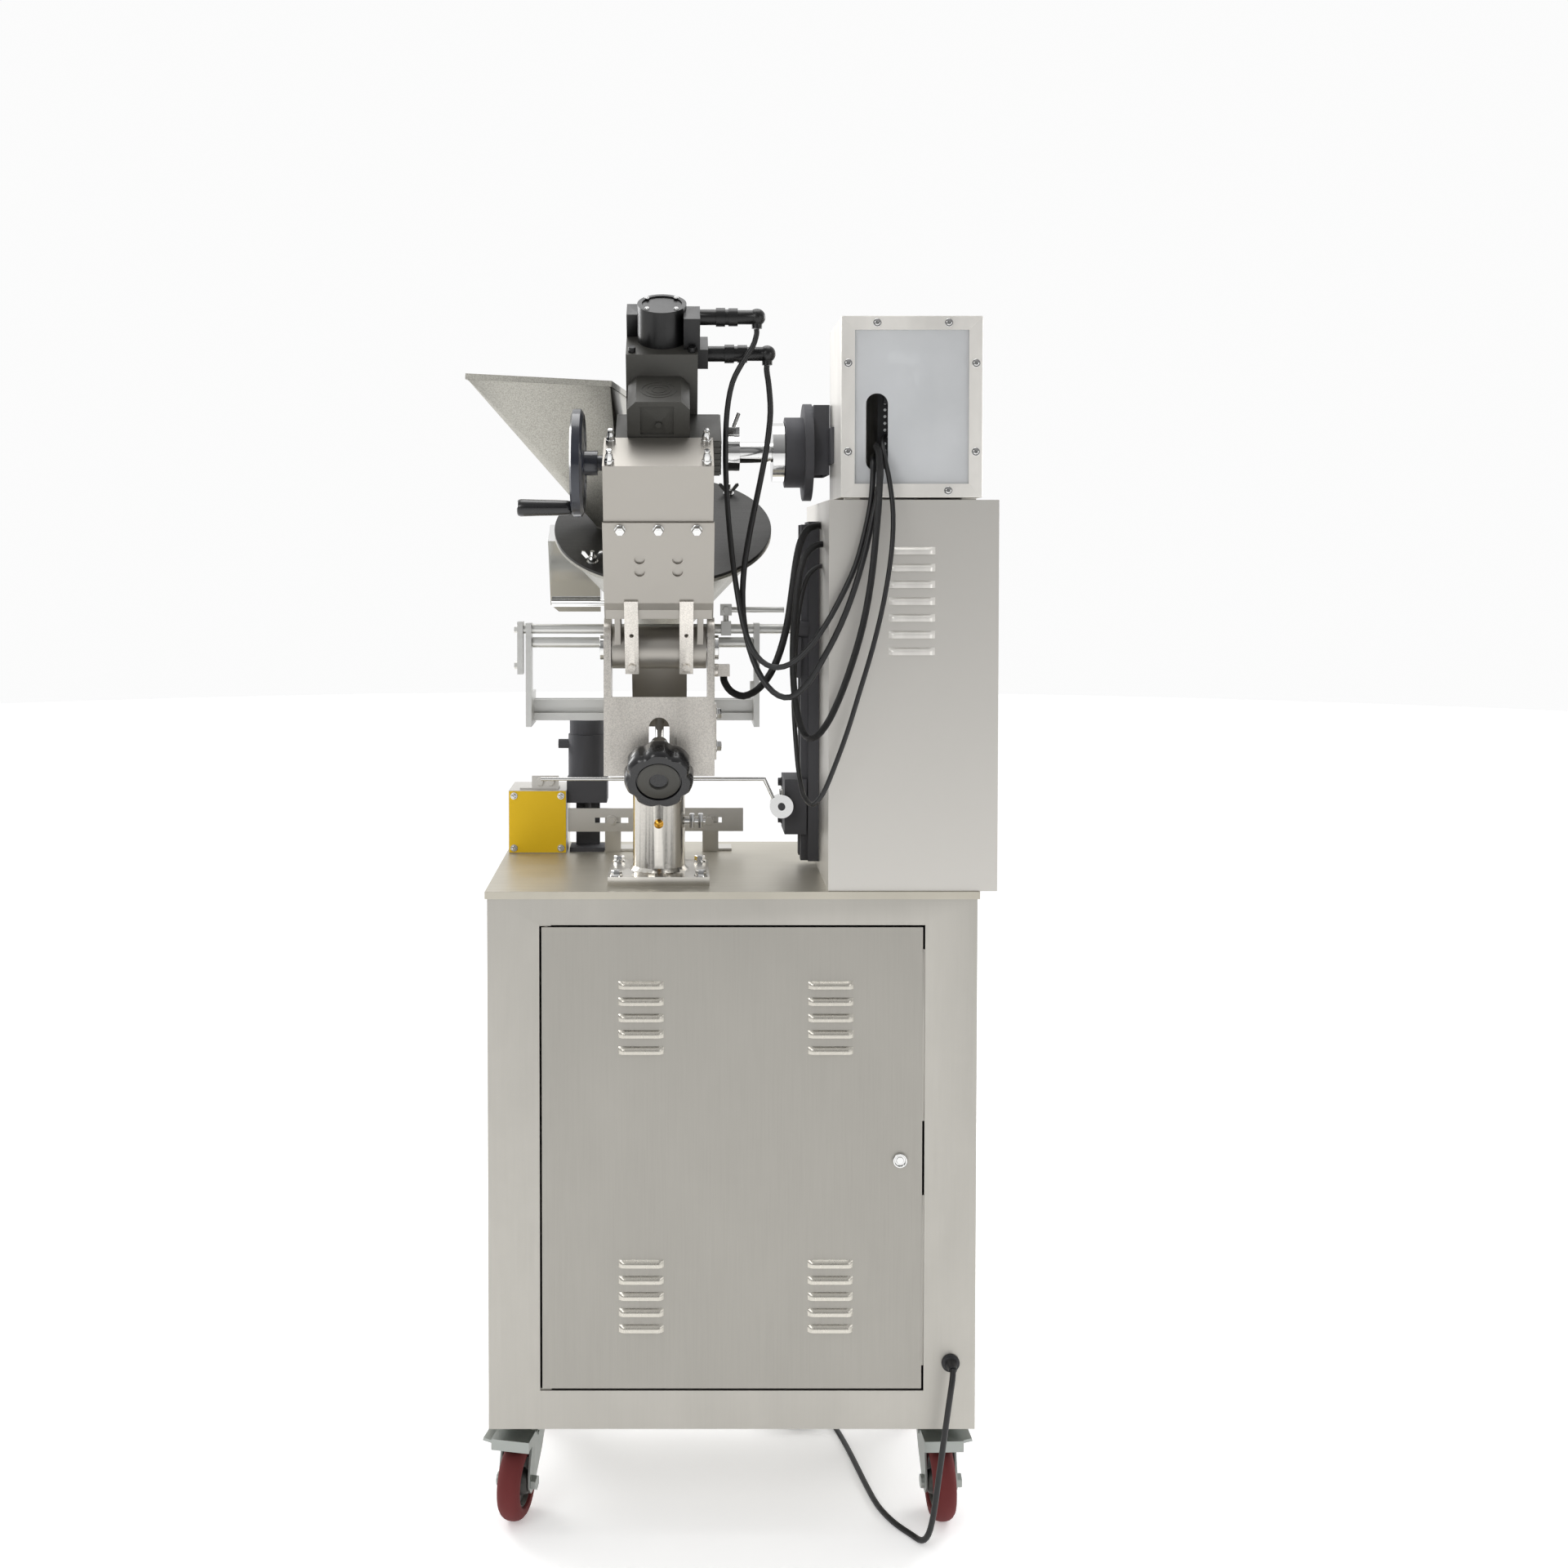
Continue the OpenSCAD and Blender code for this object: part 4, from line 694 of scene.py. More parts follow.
@dataclass
class Cords:
    """Every free cord, cable and conduit of the machine."""

    lead_size: float = 8.0
    coil: Point = (110, 340)
    mains: Sequence[Point] = (
        (292, -22, 237), (290, -30, 228), (286, -34, 205), (281, -35, 170), (276, -34, 130),
        (271, -33, 90), (266, -31, 50), (260, -27, 20), (252, -18, 6), (240, 0, 4), (220, 30, 4),
        (204, 70, 4), (194, 120, 4), (186, 170, 4), (178, 220, 4), (170, 262, 4), (162, 300, 4),
        (158, 340, 4))
    tail: Sequence[Point] = (
        (110, 388, 20), (90, 390, 19), (70, 394, 15), (50, 397, 11), (32, 397, 10), (18, 396, 10),
        (6, 396, 10))
    motor: Sequence[Point] = (
        (33, 42, 1616.7), (33, 42, 1610), (28, 42, 1594), (14, 44, 1572), (1, 47, 1546),
        (-6, 50, 1508), (-8, 52, 1460), (-7, 52, 1410), (-3, 51, 1355), (2, 46, 1305),
        (9, 34, 1255), (18, 21, 1212), (32, 8, 1182), (52, -4, 1168), (75, -11, 1172),
        (98, -15, 1192), (120, -18, 1222), (142, -19, 1262), (160, -20, 1302), (172, -19, 1345),
        (180, -17, 1385), (183, -12, 1416), (184, -4, 1433), (185, 6, 1441), (188, 24, 1446),
        (196, 39.6, 1449))
    encoder: Sequence[Point] = (
        (48, 66, 1571), (48, 66, 1563), (51, 66, 1542), (53, 66, 1508), (49, 66, 1468),
        (42, 66, 1428), (33, 64, 1384), (24, 59, 1340), (17, 53, 1295), (15, 46, 1250),
        (20, 36, 1205), (34, 22, 1162), (54, 8, 1134), (76, -4, 1128), (98, -14, 1147),
        (118, -21, 1180), (140, -26, 1224), (158, -28, 1272), (173, -28, 1325), (184, -25, 1375),
        (192, -16, 1412), (194, -5, 1430), (195, 6, 1437), (198, 24, 1442), (205, 39.6, 1446))
    conduit: Sequence[Point] = (
        (-9, 95, 1149), (-8, 95, 1141), (1, 93, 1128), (18, 88, 1122), (38, 84, 1132),
        (55, 83, 1154), (68, 85, 1184), (78, 90, 1222), (85, 98, 1266), (91, 108, 1306),
        (98, 118, 1334), (108, 126, 1350), (119, 130, 1355), (126.7, 130, 1356))
    drive: Sequence[Point] = (
        (126.7, 96, 1330), (117, 94, 1328), (103, 86, 1316), (94, 76, 1290), (88, 66, 1250),
        (84, 58, 1204), (83, 44, 1156), (86, 28, 1112), (94, 10, 1080), (106, -6, 1074),
        (122, -17, 1092), (138, -24, 1126), (154, -30, 1172), (168, -36, 1224), (178, -38, 1280),
        (184, -38, 1336), (188, -36, 1384), (190, -28, 1420), (191, -12, 1448), (190, 4, 1457),
        (192, 24, 1460), (200, 39.6, 1461))
    sensor: Sequence[Point] = (
        (126.7, 112, 1300), (118, 110, 1297), (106, 104, 1284), (97, 98, 1254), (91, 94, 1210),
        (88, 88, 1160), (86, 76, 1110), (88, 60, 1060), (91, 42, 1020), (96, 20, 994),
        (106, -4, 986), (118, -18, 1002), (130, -26, 1032), (148, -34, 1084), (164, -42, 1140),
        (180, -46, 1196), (194, -46, 1256), (204, -42, 1318), (207, -34, 1368), (204, -24, 1408),
        (199, -12, 1440), (197, 0, 1458), (198, 12, 1468), (204, 26, 1474), (212, 39.6, 1475))

    @staticmethod
    def smooth(route: Sequence[Point], share: int = 3) -> list[Vector]:
        """Returns a route with points added along the curve through it."""
        points = [Vector(p) for p in route]
        line = []
        for i in range(len(points) - 1):
            a, b, c, d = (points[min(max(i + k, 0), len(points) - 1)] for k in (-1, 0, 1, 2))
            for step in range(share):
                t = step / share
                line.append(0.5 * (
                    2 * b + (c - a) * t + (2 * a - 5 * b + 4 * c - d) * t ** 2
                    + (3 * b - a - 3 * c + d) * t ** 3))
        return line + [points[-1]]

    def coil_line(self) -> list[Vector]:
        """Returns the coil's turns, laid beside and on each other a lead apart."""
        def ease(angle: float, start: float, end: float) -> float:
            """Share of the way from one angle to the next, eased at both."""
            t = min(1.0, max(0.0, (angle - start) / (end - start)))
            return t * t * (3 - 2 * t)

        line = []
        for angle in range(15, 1530, 15):
            radius = 48 - 8 * ease(angle, 330, 375) + 8 * ease(angle, 930, 990)
            height = 4 + 8 * ease(angle, 630, 690) + 8 * ease(angle, 1230, 1285)
            turn = math.radians(angle)
            x, y = self.coil
            line.append(Vector((x + radius * math.cos(turn), y + radius * math.sin(turn), height)))
        return line

    @staticmethod
    def tube(name: str, line: Sequence[Vector], size: float, sides: int = 16) -> bpy.types.Mesh:
        """Sweeps a round tube along a line.

        Args:
            name: Name of the mesh.
            line: Its centreline in millimetres.
            size: Diameter in millimetres.
            sides: Sides of the tube.

        Returns:
            A closed mesh in metres, with a map whose second value runs along the tube.
        """
        mesh = bmesh.new()
        layer = mesh.loops.layers.uv.new("along")
        rows, distances = [], [0.0]
        across = Vector((0.1, 1, 0.2))
        for i, point in enumerate(line):
            ahead = (line[min(i + 1, len(line) - 1)] - line[max(i - 1, 0)]).normalized()
            across = (across - ahead * across.dot(ahead)).normalized()
            other = ahead.cross(across)
            angles = [FULL_TURN * k / sides for k in range(sides)]
            rows.append([
                mesh.verts.new(point + size / 2 * (math.cos(a) * across + math.sin(a) * other))
                for a in angles])
            if i:
                distances.append(distances[-1] + (point - line[i - 1]).length)
        for i in range(len(rows) - 1):
            for k in range(sides):
                n = (k + 1) % sides
                face = mesh.faces.new([rows[i][k], rows[i][n], rows[i + 1][n], rows[i + 1][k]])
                marks = ((k, i), (k + 1, i), (k + 1, i + 1), (k, i + 1))
                for loop, (u, v) in zip(face.loops, marks):
                    loop[layer].uv = (u / sides, distances[v] * 0.01)
        mesh.faces.new(rows[0][::-1])
        mesh.faces.new(rows[-1])
        data = bpy.data.meshes.new(name)
        mesh.to_mesh(data)
        mesh.free()
        data.transform(FLOOR)
        return data

    def lay(self, name: str, line: Sequence[Vector], size: float, finish: Finish, far_end: str,
            lay: str, nodes: Sequence[str], between: tuple[Point, Point] | None = None,
            pieces: Sequence[bpy.types.Object] = ()) -> bpy.types.Object:
        """Makes one cord.

        Args:
            name: The piece's name.
            line: Its centreline in millimetres.
            size: Its diameter in millimetres.
            finish: Its sheath.
            far_end: Not used.
            lay: Not used.
            nodes: CAD nodes it stands for.
            between: Only whether it is given is read; a cord with it is left unparented, and its points are not
                used.
            pieces: Not used.

        Returns:
            The cord.
        """
        data = self.tube(name, line, size)
        if between is None:
            made = piece(name, data, "cabinet", finish, 0.0, nodes)
        else:
            made = bpy.data.objects.new(name, data)
            bpy.context.scene.collection.objects.link(made)
            data.materials.append(finish.material())
            soften(made, 0.0)
            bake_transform(made)
            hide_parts(*nodes)
        return made

    def build(self, frame: Frame) -> None:
        """Lays every cord."""
        lead = self.smooth(self.mains) + self.coil_line() + self.smooth(self.tail)
        frame.coat("mains_plug", PLASTIC)
        self.lay("mains_flex", lead, self.lead_size, RUBBER, "plug", "coiled", ["mains_lead", "lead_coil"],
                 pieces=[frame.nodes["mains_plug"]])
        self.lay("motor_flex", self.smooth(self.motor), 7.5, RUBBER, "object", "hanging", ["motor_cable"],
                 between=((100, 0, 1340), (-70, 0, 1510)))
        self.lay("encoder_flex", self.smooth(self.encoder), 8, RUBBER, "object", "hanging", ["encoder_cable"],
                 between=((105, 0, 1330), (-50, 0, 1485)))
        for name, route, size, finish, node in (
                ("conduit_flex", self.conduit, 10, CORRUGATED, "head_conduit"),
                ("drive_flex", self.drive, 9, CORRUGATED, "drive_cable"),
                ("sensor_flex", self.sensor, 6.5, RUBBER, "sensor_cable")):
            self.lay(name, self.smooth(route), size, finish, "object", "hanging", [node])


def louvre(width: float, height: float = 10.0, depth: float = 4.6) -> Shape:
    """Makes one pressed louvre hood, its opening downwards.

    Args:
        width: Length of the hood in millimetres.
        height: How far it reaches up its sheet.
        depth: How far it stands out.

    Returns:
        The hood, facing up from its sheet.
    """
    made = Shape(LOOSE)
    across, up = 18, 7
    sheet = 0.7
    rows = []
    for layer in (0.0, sheet):
        grid = []
        for j in range(up + 1):
            v = j / up
            fall = 1.0 if v < 0.45 else math.cos((v - 0.45) / 0.55 * math.pi / 2)
            line = []
            for i in range(across + 1):
                u = i / across
                end = min(1.0, min(u, 1 - u) * width / 7)
                swell = fall * math.sin(end * math.pi / 2) ** 0.8
                rise = (depth - layer) * swell + (sheet - layer) * 0.2
                line.append(made.mesh.verts.new(((u - 0.5) * width, (v - 0.5) * height, rise)))
            grid.append(line)
        rows.append(grid)
    outer, inner = rows
    for grid, flip in ((outer, False), (inner, True)):
        for j in range(up):
            for i in range(across):
                face = [grid[j][i], grid[j][i + 1], grid[j + 1][i + 1], grid[j + 1][i]]
                made.mesh.faces.new(face[::-1] if flip else face)
    rim = [(0, i) for i in range(across)] + [(j, across) for j in range(up)]
    rim += [(up, i) for i in range(across, 0, -1)] + [(j, 0) for j in range(up, 0, -1)]
    for (j, i), (m, k) in zip(rim, rim[1:] + rim[:1]):
        made.mesh.faces.new([outer[m][k], outer[j][i], inner[j][i], inner[m][k]])
    return made


def hex_bolt(across: float, tall: float, washer: float) -> Shape:
    """Makes a hexagon head on its washer, facing up.

    Args:
        across: Width over the flats in millimetres.
        tall: Height of the head.
        washer: Radius of the washer.

    Returns:
        The bolt.
    """
    made = Shape(LOOSE)
    thick = 1.6
    top = thick + tall
    corner = across / math.sqrt(3)
    made.lathe([(0, 0), (washer, 0), (washer, 1.2), (washer - 0.4, thick), (0, thick)], steps=28)
    side = [(0, thick), (corner, thick), (corner, thick + tall * 0.78), (corner * 0.86, top), (0, top)]
    made.lathe(side, steps=6)
    made.lathe([(corner * 0.5, top), (corner * 0.5, top + 0.3), (0, top + 0.3)], steps=18)
    return made


def socket_screw(head: float, tall: float) -> Shape:
    """Makes a socket screw of a head radius on a wide washer, facing up."""
    made = Shape(LOOSE)
    made.lathe([(0, 0), (head * 1.55, 0), (head * 1.55, 0.9), (head * 1.45, 1.2), (0, 1.2)], steps=28)
    made.lathe([(head * 0.98, 1.2), (head, 1.6), (head, 1.0 + tall), (head * 0.9, 1.2 + tall),
                (head * 0.5, 1.2 + tall), (head * 0.5, 1.9), (0, 1.8)], steps=24)
    return made


@dataclass
class BaseCabinet:
    """Wheeled cabinet with its louvred door, lock and table top."""

    frame: Frame
    repeat: Repeater
    louvre_lefts: Sequence[float] = (-151, 101)
    louvre_tops: Sequence[float] = (738, 364)
    louvre_count: int = 5
    louvre_width: float = 60
    louvre_pitch: float = 21.8
    lock: Point = (223.5, 0, 510)

    def body(self) -> None:
        """Dresses the sheet body, the table and what is inside."""
        self.frame.dress("base_cabinet", CABINET, 1.6)
        self.frame.dress("table_top", TABLE, 1.0)
        self.frame.dress("electrical_panel", DARK, 0.6)
        self.frame.dress("mains_gland", PLASTIC, 0.5)

    def door(self) -> None:
        """Dresses the door and presses its louvres, in a lighter grey that paints their highlights."""
        self.frame.dress("base_door", DOOR, 0.7, cut=lambda p: p.y < -0.2)
        spots = []
        for left in self.louvre_lefts:
            for top in self.louvre_tops:
                for k in range(self.louvre_count):
                    height = top - k * self.louvre_pitch + 7
                    spots.append(((left + self.louvre_width / 2, 0.1, height), Aim.NEAR))
        # The louvres take the lighter grey, a painted highlight on the hoods.
        self.repeat.spread("door_louvres", louvre(self.louvre_width), spots, FLOOR, "door", LOUVRE_HIGHLIGHT_SHEET)

    def cam_lock(self) -> None:
        """Turns the lock's collar, barrel and key plug."""
        x, _, z = self.lock
        profile = [(7.9, 1.5), (10, 1.5), (10, 3.8), (9.2, 5), (7.6, 5), (7, 4.2), (7, 2.2), (4.8, 2.2),
                   (4.6, 3.6), (0, 3.6)]
        ring = Shape().lathe(profile, (x, 1.5, z), Aim.NEAR.value, 40)
        ring.rod((x, 0, z), (x, 16, z), 7.8)
        ring.box((x - 5, 10, z - 36), (x + 5, 12.5, z + 4))
        piece("cam_lock", ring.data("cam_lock"), "door_cam", POLISHED, 0.3, ["door_lock"])

    def build(self) -> None:
        """Builds the sub-assembly."""
        self.body()
        self.door()
        self.cam_lock()


@dataclass
class Casters:
    """Four casters: two that swivel and brake, and two fixed ones."""

    frame: Frame
    spread: float = 285.0
    wheel: float = 50.0
    width: float = 32.0

    def wheel_pieces(self, name: str, node: str, centre: Point, turn: float) -> None:
        """Makes one wheel's tyre and hub.

        Args:
            name: Start of the pieces' names.
            node: The CAD node they stand for.
            centre: Middle of the wheel.
            turn: Its axle's turn from X in degrees.
        """
        axis = (math.cos(math.radians(turn)), math.sin(math.radians(turn)), 0)
        body = self.frame.body[node]
        half = self.width / 2
        profile = [(34, -half + 1.2), (38, -half), (42, -half + 0.6), (46, -half + 3.6), (48.6, -half + 7.5),
                   (49.8, -half + 12), (50, 0), (49.8, half - 12), (48.6, half - 7.5), (46, half - 3.6),
                   (42, half - 0.6), (38, half), (34, half - 1.2), (33, half - 3), (33, -half + 3)]
        tyre = Shape().lathe(profile, centre, axis, 72, True)
        data = tyre.data(name + "_tyre")
        layer = data.uv_layers.new(name="radius")
        middle = FLOOR @ Vector(centre)
        for loop in data.loops:
            out = data.vertices[loop.vertex_index].co - middle
            flat = out - Vector(axis) * out.dot(Vector(axis))
            layer.data[loop.index].uv = (0.0, max(0.0, (flat.length / MM - 33) / 17))
        piece(name + "_tyre", data, body, TYRE, 0.0, [node])
        profile = [(33, -11), (30, -12), (27, -6), (18, -6), (15, -16), (13.5, -17.4), (6.05, -17.4),
                   (6.05, 17.4), (13.5, 17.4), (15, 16), (18, 6), (27, 6), (30, 12), (33, 11)]
        hub = Shape().lathe(profile, centre, axis, 60, True)
        piece(name + "_hub", hub.data(name + "_hub"), body, CAST_GREY, 0.3)

    def build(self) -> None:
        """Builds the four casters."""
        self.frame.dress("caster_mounts", ZINC, 0.6)
        for side, turn in (("left", -12.0), ("right", 2.0)):
            self.frame.dress(side + "_fork", ZINC, 0.6)
            self.frame.dress(side + "_pedal", ZINC, 0.6)
            sign = -1 if side == "left" else 1
            a = math.radians(turn)
            near = (sign * self.spread + 35 * math.sin(a), 85 - 35 * math.cos(a), self.wheel)
            far = (sign * self.spread, 344, self.wheel)
            self.wheel_pieces("near_" + side, f"front_{side}_wheel", near, turn)
            self.wheel_pieces("far_" + side, f"rear_{side}_wheel", far, 0)


@dataclass
class UpperCabinet:
    """Tall right-hand cabinet with the control box on top."""

    frame: Frame
    repeat: Repeater
    box: Point = (142.4, 1391)
    size: Point = (186, 238)
    rim: float = 18
    lock: Point = (351, 56, 1133)

    def body(self) -> None:
        """Dresses the cabinet, its side door and its louvres."""
        self.frame.dress("upper_cabinet", BRIGHT, 1.2, cut=lambda p: p.y < -0.2)
        self.frame.dress("side_door", BRIGHT, 0.7)
        spots = [((236.5, 0.1, 1314 - k * 22.1 + 7), Aim.NEAR) for k in range(7)]
        self.repeat.spread("cabinet_louvres", louvre(61), spots, FLOOR, "cabinet", BOX)
        profile = [(6.9, 0.4), (9, 0.4), (9, 3.2), (8.2, 4.4), (6.4, 4.4), (6, 2.4), (3.6, 2.4),
                   (3.4, 3.4), (0, 3.4)]
        x, y, z = self.lock
        lock = Shape().lathe(profile, self.lock, Aim.RIGHT.value, 36)
        lock.rod((x - 16, y, z), (x + 0.4, y, z), 6.8)
        lock.box((x - 15, y - 5, z - 36), (x - 12.5, y + 5, z + 4))
        piece("side_cam_lock", lock.data("side_cam_lock"), "side_cam", POLISHED, 0.3, ["side_lock"])

    def control(self) -> None:
        """Dresses the control box, its mitred frame, window and drive."""
        self.frame.dress("control_box", BOX, 1.2)
        self.frame.dress("window_panel", CLEAR, 0.3)
        self.frame.dress("servo_drive", PLASTIC, 0.8)
        x, z = self.box
        wide, tall = self.size
        bars = Shape()
        outer, inner = (
            [(x + gap, z + gap), (x + wide - gap, z + gap), (x + wide - gap, z + tall - gap),
             (x + gap, z + tall - gap)] for gap in (0.6, self.rim))
        flat = Matrix(((1, 0, 0, 0), (0, 0, -1, 0), (0, 1, 0, 0), (0, 0, 0, 1)))
        for k in range(4):
            n = (k + 1) % 4
            bars.prism([outer[k], outer[n], inner[n], inner[k]], 0.7, flat)
        piece("window_frame", bars.data("window_frame"), "cabinet", BOX, 0.25)
        dots = [((x + 62, 38.5, z + 55 + k * 9), Aim.NEAR) for k in range(12)]
        light = Shape(LOOSE).lathe([(0, 0), (2, 0), (2, 1), (1.2, 1.8), (0, 2)], steps=14)
        self.repeat.spread("drive_lights", light, dots, FLOOR, "cabinet", LABEL)
        plate = Shape().box((x + 66, 38.9, z + 178), (x + 108, 39.9, z + 196))
        plate.box((x + 66, 38.9, z + 150), (x + 108, 39.9, z + 170))
        piece("drive_label", plate.data("drive_label"), "cabinet", LABEL, 0.2)

    def screws(self) -> None:
        """Sets the window frame's screws."""
        x, z = self.box
        wide, tall = self.size
        middle = self.rim / 2
        places = [(a, b) for b in (middle, tall - middle) for a in (47, wide - 45)]
        places += [(a, b) for a in (middle, wide - middle) for b in (60, tall - 62)]
        spots = [((x + a, -0.6, z + b), Aim.NEAR) for a, b in places]
        self.repeat.spread("window_screws", socket_screw(3.5, 2.0), spots, FLOOR, "cabinet", POLISHED)

    def build(self) -> None:
        """Builds the sub-assembly."""
        self.body()
        self.control()
        self.screws()


@dataclass
class Column:
    """Column, tilt bracket and the bolts on them."""

    frame: Frame
    repeat: Repeater
    centre: Point = (-98, 105)

    def build(self) -> None:
        """Builds the sub-assembly."""
        self.frame.dress("column", TUBE, 0.8)
        self.frame.dress("tilt_bracket", BRACKET, 0.8)
        self.frame.dress("pivot_pin", POLISHED, 0.8)
        x, y = self.centre
        spots = [((x + a * 57, y + b * 57, TABLE_Z + 12), Aim.UP) for a in (-1, 1) for b in (-1, 1)]
        spots += [((x + 78.5, 110, z), Aim.RIGHT) for z in (1051, 1096)]
        self.repeat.spread("frame_bolts", hex_bolt(13, 6, 9), spots, FLOOR, "cabinet", POLISHED,
                           ["frame_fasteners"])
        z = TABLE_Z + 78
        lock = Shape().rod((x + 28, y, z), (x + 64, y, z), 5)
        nut = [(5, 0), (10.2, 0), (11.2, 1.2), (11.2, 5.8), (10.2, 7), (5, 7)]
        for at in (42, 54):
            lock.lathe(nut, (x + at, y, z), Aim.RIGHT.value, 6)
        piece("lock_screw", lock.data("lock_screw"), "cabinet", POLISHED, 0.2)
        profile = [(5.8, 0), (6.4, 1), (6.4, 4), (4.6, 5), (4.4, 8), (2.4, 9), (2.2, 7), (0, 6.8)]
        nipple = Shape().lathe(profile, (x, y - 40.5, z + 2), Aim.NEAR.value, 28)
        piece("grease_nipple", nipple.data("grease_nipple"), "cabinet", BRASS, 0.1)


@dataclass
class TiltingHead:
    """Casing, covers, hopper, funnel and drive of the head."""

    frame: Frame
    repeat: Repeater
    auger: Point = (4, 186)
    knob_z: float = -105
    knob_r: float = 46.5

    def round_auger(self, radius: float, angle: float, height: float) -> Point:
        """Returns a place round the auger's axis, in the head's millimetres."""
        x, y = self.auger
        return (x + radius * math.cos(angle), y + radius * math.sin(angle), height)

    def casing(self) -> None:
        """Dresses the casing and sets its bolts and studs."""
        self.frame.dress("head_frame", HEAD_STEEL, 1.0)
        self.frame.dress("head_cover", HEAD_STEEL, 0.8)
        self.frame.dress("head_straps", BRACKET, 0.8)
        bolts = [((x, -33, 204), Aim.NEAR) for x in (-50, 0, 50)]
        self.repeat.spread("cover_bolts", hex_bolt(12, 5, 7.5), bolts, HEAD, "head", POLISHED,
                           ["head_fasteners"])
        profile = [(0, 0), (6.5, 0), (6.5, 4.6), (5.4, 5.2), (5.8, 6), (4.6, 12), (3.4, 15), (4, 16.2),
                   (4, 18), (3, 19), (0, 19)]
        stud = Shape(LOOSE).lathe(profile, steps=24)
        spots = [((s * 62.5, y, 295), Aim.UP) for s in (-1, 1) for y in (-21, 38)]
        self.repeat.spread("top_studs", stud, spots, HEAD, "head", POLISHED)
        profile = [(0, 0), (8, 0), (8, 1.5), (6, 1.5), (6, 8), (4.6, 9.5), (3, 9.5), (3, 17), (0, 17.5)]
        wing = Shape(LOOSE).lathe(profile, steps=22)
        for s in (-1, 1):
            lean = Matrix.Rotation(math.radians(90), 4, "X")
            leaf = [(s * 4, 4), (s * 8, 5), (s * 15, 14), (s * 14, 18), (s * 10, 17), (s * 5, 9)]
            wing.prism(leaf if s > 0 else leaf[::-1], 2.4, Matrix.Translation((0, 1.2, 0)) @ lean)
        spots = [(self.round_auger(140, math.radians(a), 86.5), Aim.UP) for a in (46, 226)]
        self.repeat.spread("wing_nuts", wing, spots, HEAD, "head", POLISHED)

    def drive(self) -> None:
        """Dresses the gearbox and servo and adds the cap's plain ring mark."""
        self.frame.dress("gearbox", CAST_GREY, 1.4)
        self.frame.dress("servo_motor", MOTOR, 1.2)
        rings = Shape(HEAD)
        for inner in (8, 15, 22):
            profile = [(inner, 0), (inner + 2, 0), (inner + 2, 0.8), (inner, 0.8)]
            rings.lathe(profile, (0, 92, 344.9), steps=56, ring=True)
        piece("cap_rings", rings.data("cap_rings"), "head", CAST_GREY, 0.2)
        screw = Shape(LOOSE).lathe([(0, 0), (3.2, 0), (3.2, 1.4), (2.6, 2.2), (0, 2.2)], steps=18)
        spots = [(self.round_auger(27, a, 428), Aim.UP) for a in (0.8, 2.4, 3.9, 5.5)]
        self.repeat.spread("motor_screws", screw, spots, HEAD, "head", POLISHED)

    def powder(self) -> None:
        """Dresses the hopper, funnel, level box and what turns in them."""
        self.frame.dress("wedge_hopper", HOPPER, 0.5)
        self.frame.dress("powder_funnel", HOPPER, 0.3)
        self.frame.dress("funnel_lid", LID_STEEL, 0.8)
        self.frame.dress("level_box", POLISHED, 1.2)
        for node in ("auger", "agitator", "cross_shaft"):
            self.frame.coat(node, POLISHED)

    def crank(self) -> None:
        """Dresses the crank wheel and turns its handle."""
        self.frame.dress("crank_wheel", ENAMEL, 0.9)
        drop = (10 - 58 * math.sin(TILT), 279 - 58 * math.cos(TILT))
        profile = [(4.05, 0), (7.6, 0), (8.8, 1.2), (9.6, 6), (10.2, 20), (10.6, 42), (11.2, 60),
                   (11.4, 66), (10.4, 69.2), (8.4, 70.4), (4.05, 70.4)]
        grip = Shape(HEAD).lathe(profile, (-112.5, *drop), Aim.LEFT.value, 44, True)
        piece("crank_grip_moulding", grip.data("crank_grip_moulding"), "crank_grip", BAKELITE, 0.0,
              ["crank_handle"])

    def knob(self) -> None:
        """Makes the lobed clamp knob, its grey ring and its stud."""
        rows, lobes, dip = 84, 7, 4.2
        levels = [(0.80, 132), (0.96, 133.5), (1.0, 138), (1.0, 158), (0.96, 164), (0.90, 166.5),
                  (0.66, 166.5), (0.64, 163)]
        made = Shape(HEAD)
        rings = []
        for share, depth in levels:
            ring = []
            for k in range(rows):
                a = FULL_TURN * k / rows
                lobe = self.knob_r - dip * (0.5 - 0.5 * math.cos(lobes * a)) ** 3
                r = lobe * share if share > 0.7 else self.knob_r * share
                ring.append(made.mesh.verts.new((r * math.sin(a), -depth, self.knob_z + r * math.cos(a))))
            rings.append(ring)
        for low, high in zip(rings, rings[1:]):
            for k in range(rows):
                n = (k + 1) % rows
                made.mesh.faces.new([low[k], low[n], high[n], high[k]])
        made.mesh.faces.new(rings[0])
        made.mesh.faces.new(rings[-1])
        piece("clamp_knob", made.data("clamp_knob"), "knob", BAKELITE, 0.0, ["tilt_knob"])
        profile = [(12, 0), (27, 0), (28.5, 1.4), (28.5, 2.6), (27, 3.6), (13, 3.6), (12, 2)]
        ring = Shape(HEAD).lathe(profile, (0, -162.5, self.knob_z), Aim.NEAR.value, 56, True)
        piece("knob_ring", ring.data("knob_ring"), "knob", CAST_GREY, 0.0)
        profile = [(0, 0), (6, 0.4), (6, 96), (12, 96), (17.5, 116), (17.5, 117), (6, 117), (6, 150),
                   (10, 150), (11.4, 151.4), (11.4, 157.5), (10, 159), (8.6, 159), (7.6, 164), (4, 167),
                   (0, 168)]
        stud = Shape(HEAD).lathe(profile, (0, 16, self.knob_z), Aim.NEAR.value, 36)
        piece("knob_stud", stud.data("knob_stud"), "knob", POLISHED, 0.0)

    def build(self) -> None:
        """Builds the sub-assembly."""
        self.casing()
        self.drive()
        self.powder()
        self.crank()
        self.knob()


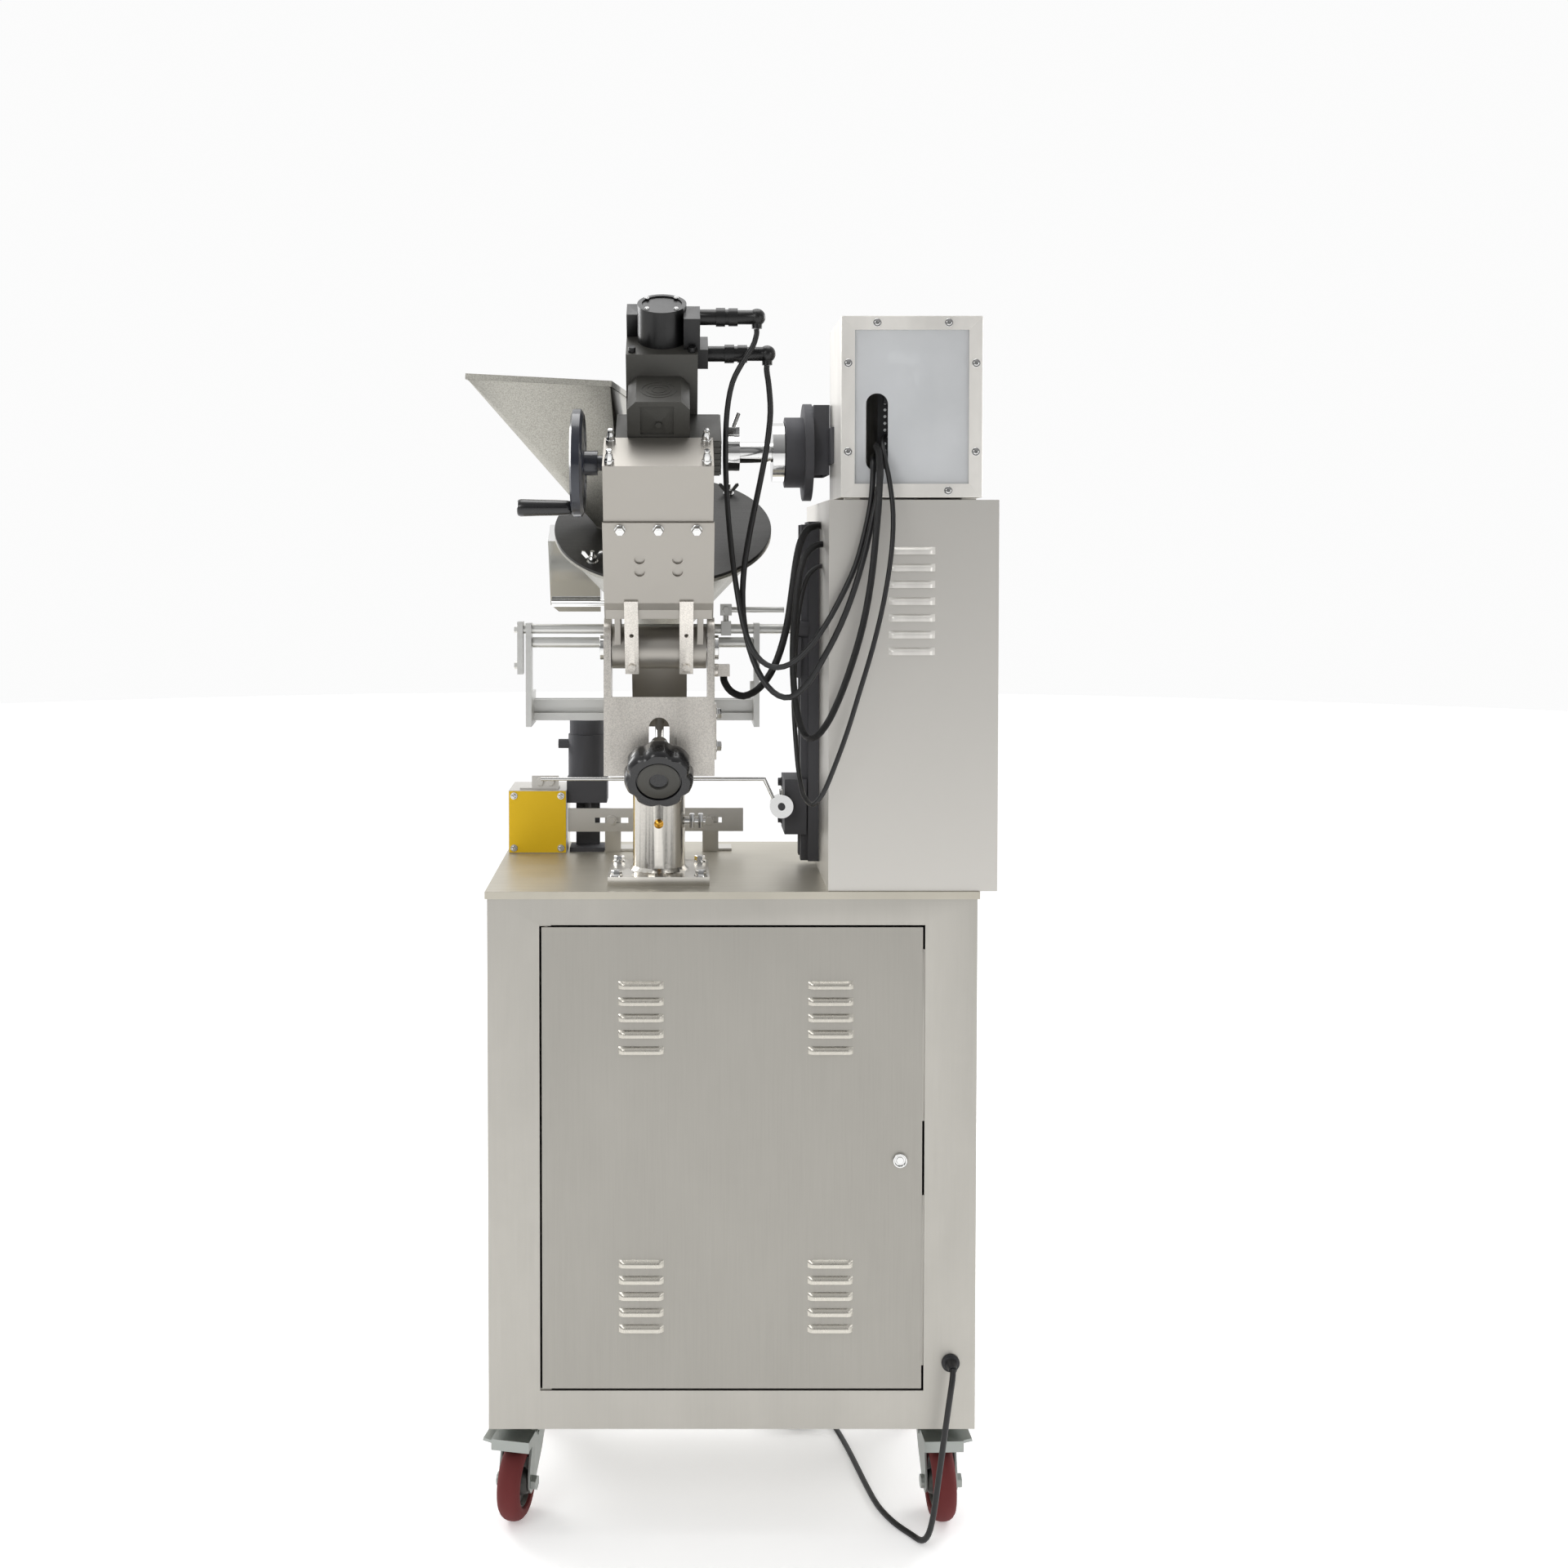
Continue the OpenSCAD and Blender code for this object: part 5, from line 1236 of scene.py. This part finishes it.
@dataclass
class FilmPath:
    """Reel, guides, rails and the small stations on the table."""

    frame: Frame
    repeat: Repeater
    finishes: dict[str, tuple[Finish, float]] = field(default_factory=lambda: {
        "reel_bracket": (DARK, 0.8), "reel_shaft": (POLISHED, 0.8), "guide_frame": (ALUMINIUM, 0.6),
        "guide_roller": (ALUMINIUM, 0.6), "cross_clamp": (ALUMINIUM, 0.6), "guide_rails": (DARK, 0.6),
        "slide_block": (DARK, 0.8), "detector_arm": (POLISHED, 0.5), "bag_guides": (BRIGHT, 0.4),
        "feed_motor": (DARK, 1.0)})

    def build(self) -> None:
        """Builds the sub-assembly."""
        for node, (finish, bevel) in self.finishes.items():
            self.frame.dress(node, finish, bevel)
        self.frame.dress("switch_box", BRIGHT, 0.8)
        face = Shape().box((-323.4, 291.2, TABLE_Z + 1), (-238.6, 292.2, TABLE_Z + 93))
        piece("switch_face", face.data("switch_face"), "cabinet", YELLOW, 0.3)
        spots = [((x, 291.2, TABLE_Z + z), Aim.NEAR) for x in (-316, -246) for z in (8, 86)]
        self.repeat.spread("switch_screws", socket_screw(3.4, 1.6), spots, FLOOR, "cabinet", POLISHED)


def main() -> None:
    """Builds the whole look around the frame."""
    logging.basicConfig(level=logging.INFO, format="%(name)s: %(message)s")
    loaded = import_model()
    studio = Studio()
    studio.camera()
    frame = Frame(loaded)
    Cords().build(frame)
    repeat = Repeater()
    for part in (BaseCabinet(frame, repeat), Casters(frame), UpperCabinet(frame, repeat),
                 Column(frame, repeat), TiltingHead(frame, repeat), FilmPath(frame, repeat)):
        part.build()
        LOG.info("built %s", type(part).__name__)
    studio.light()


if __name__ == "__main__":
    main()
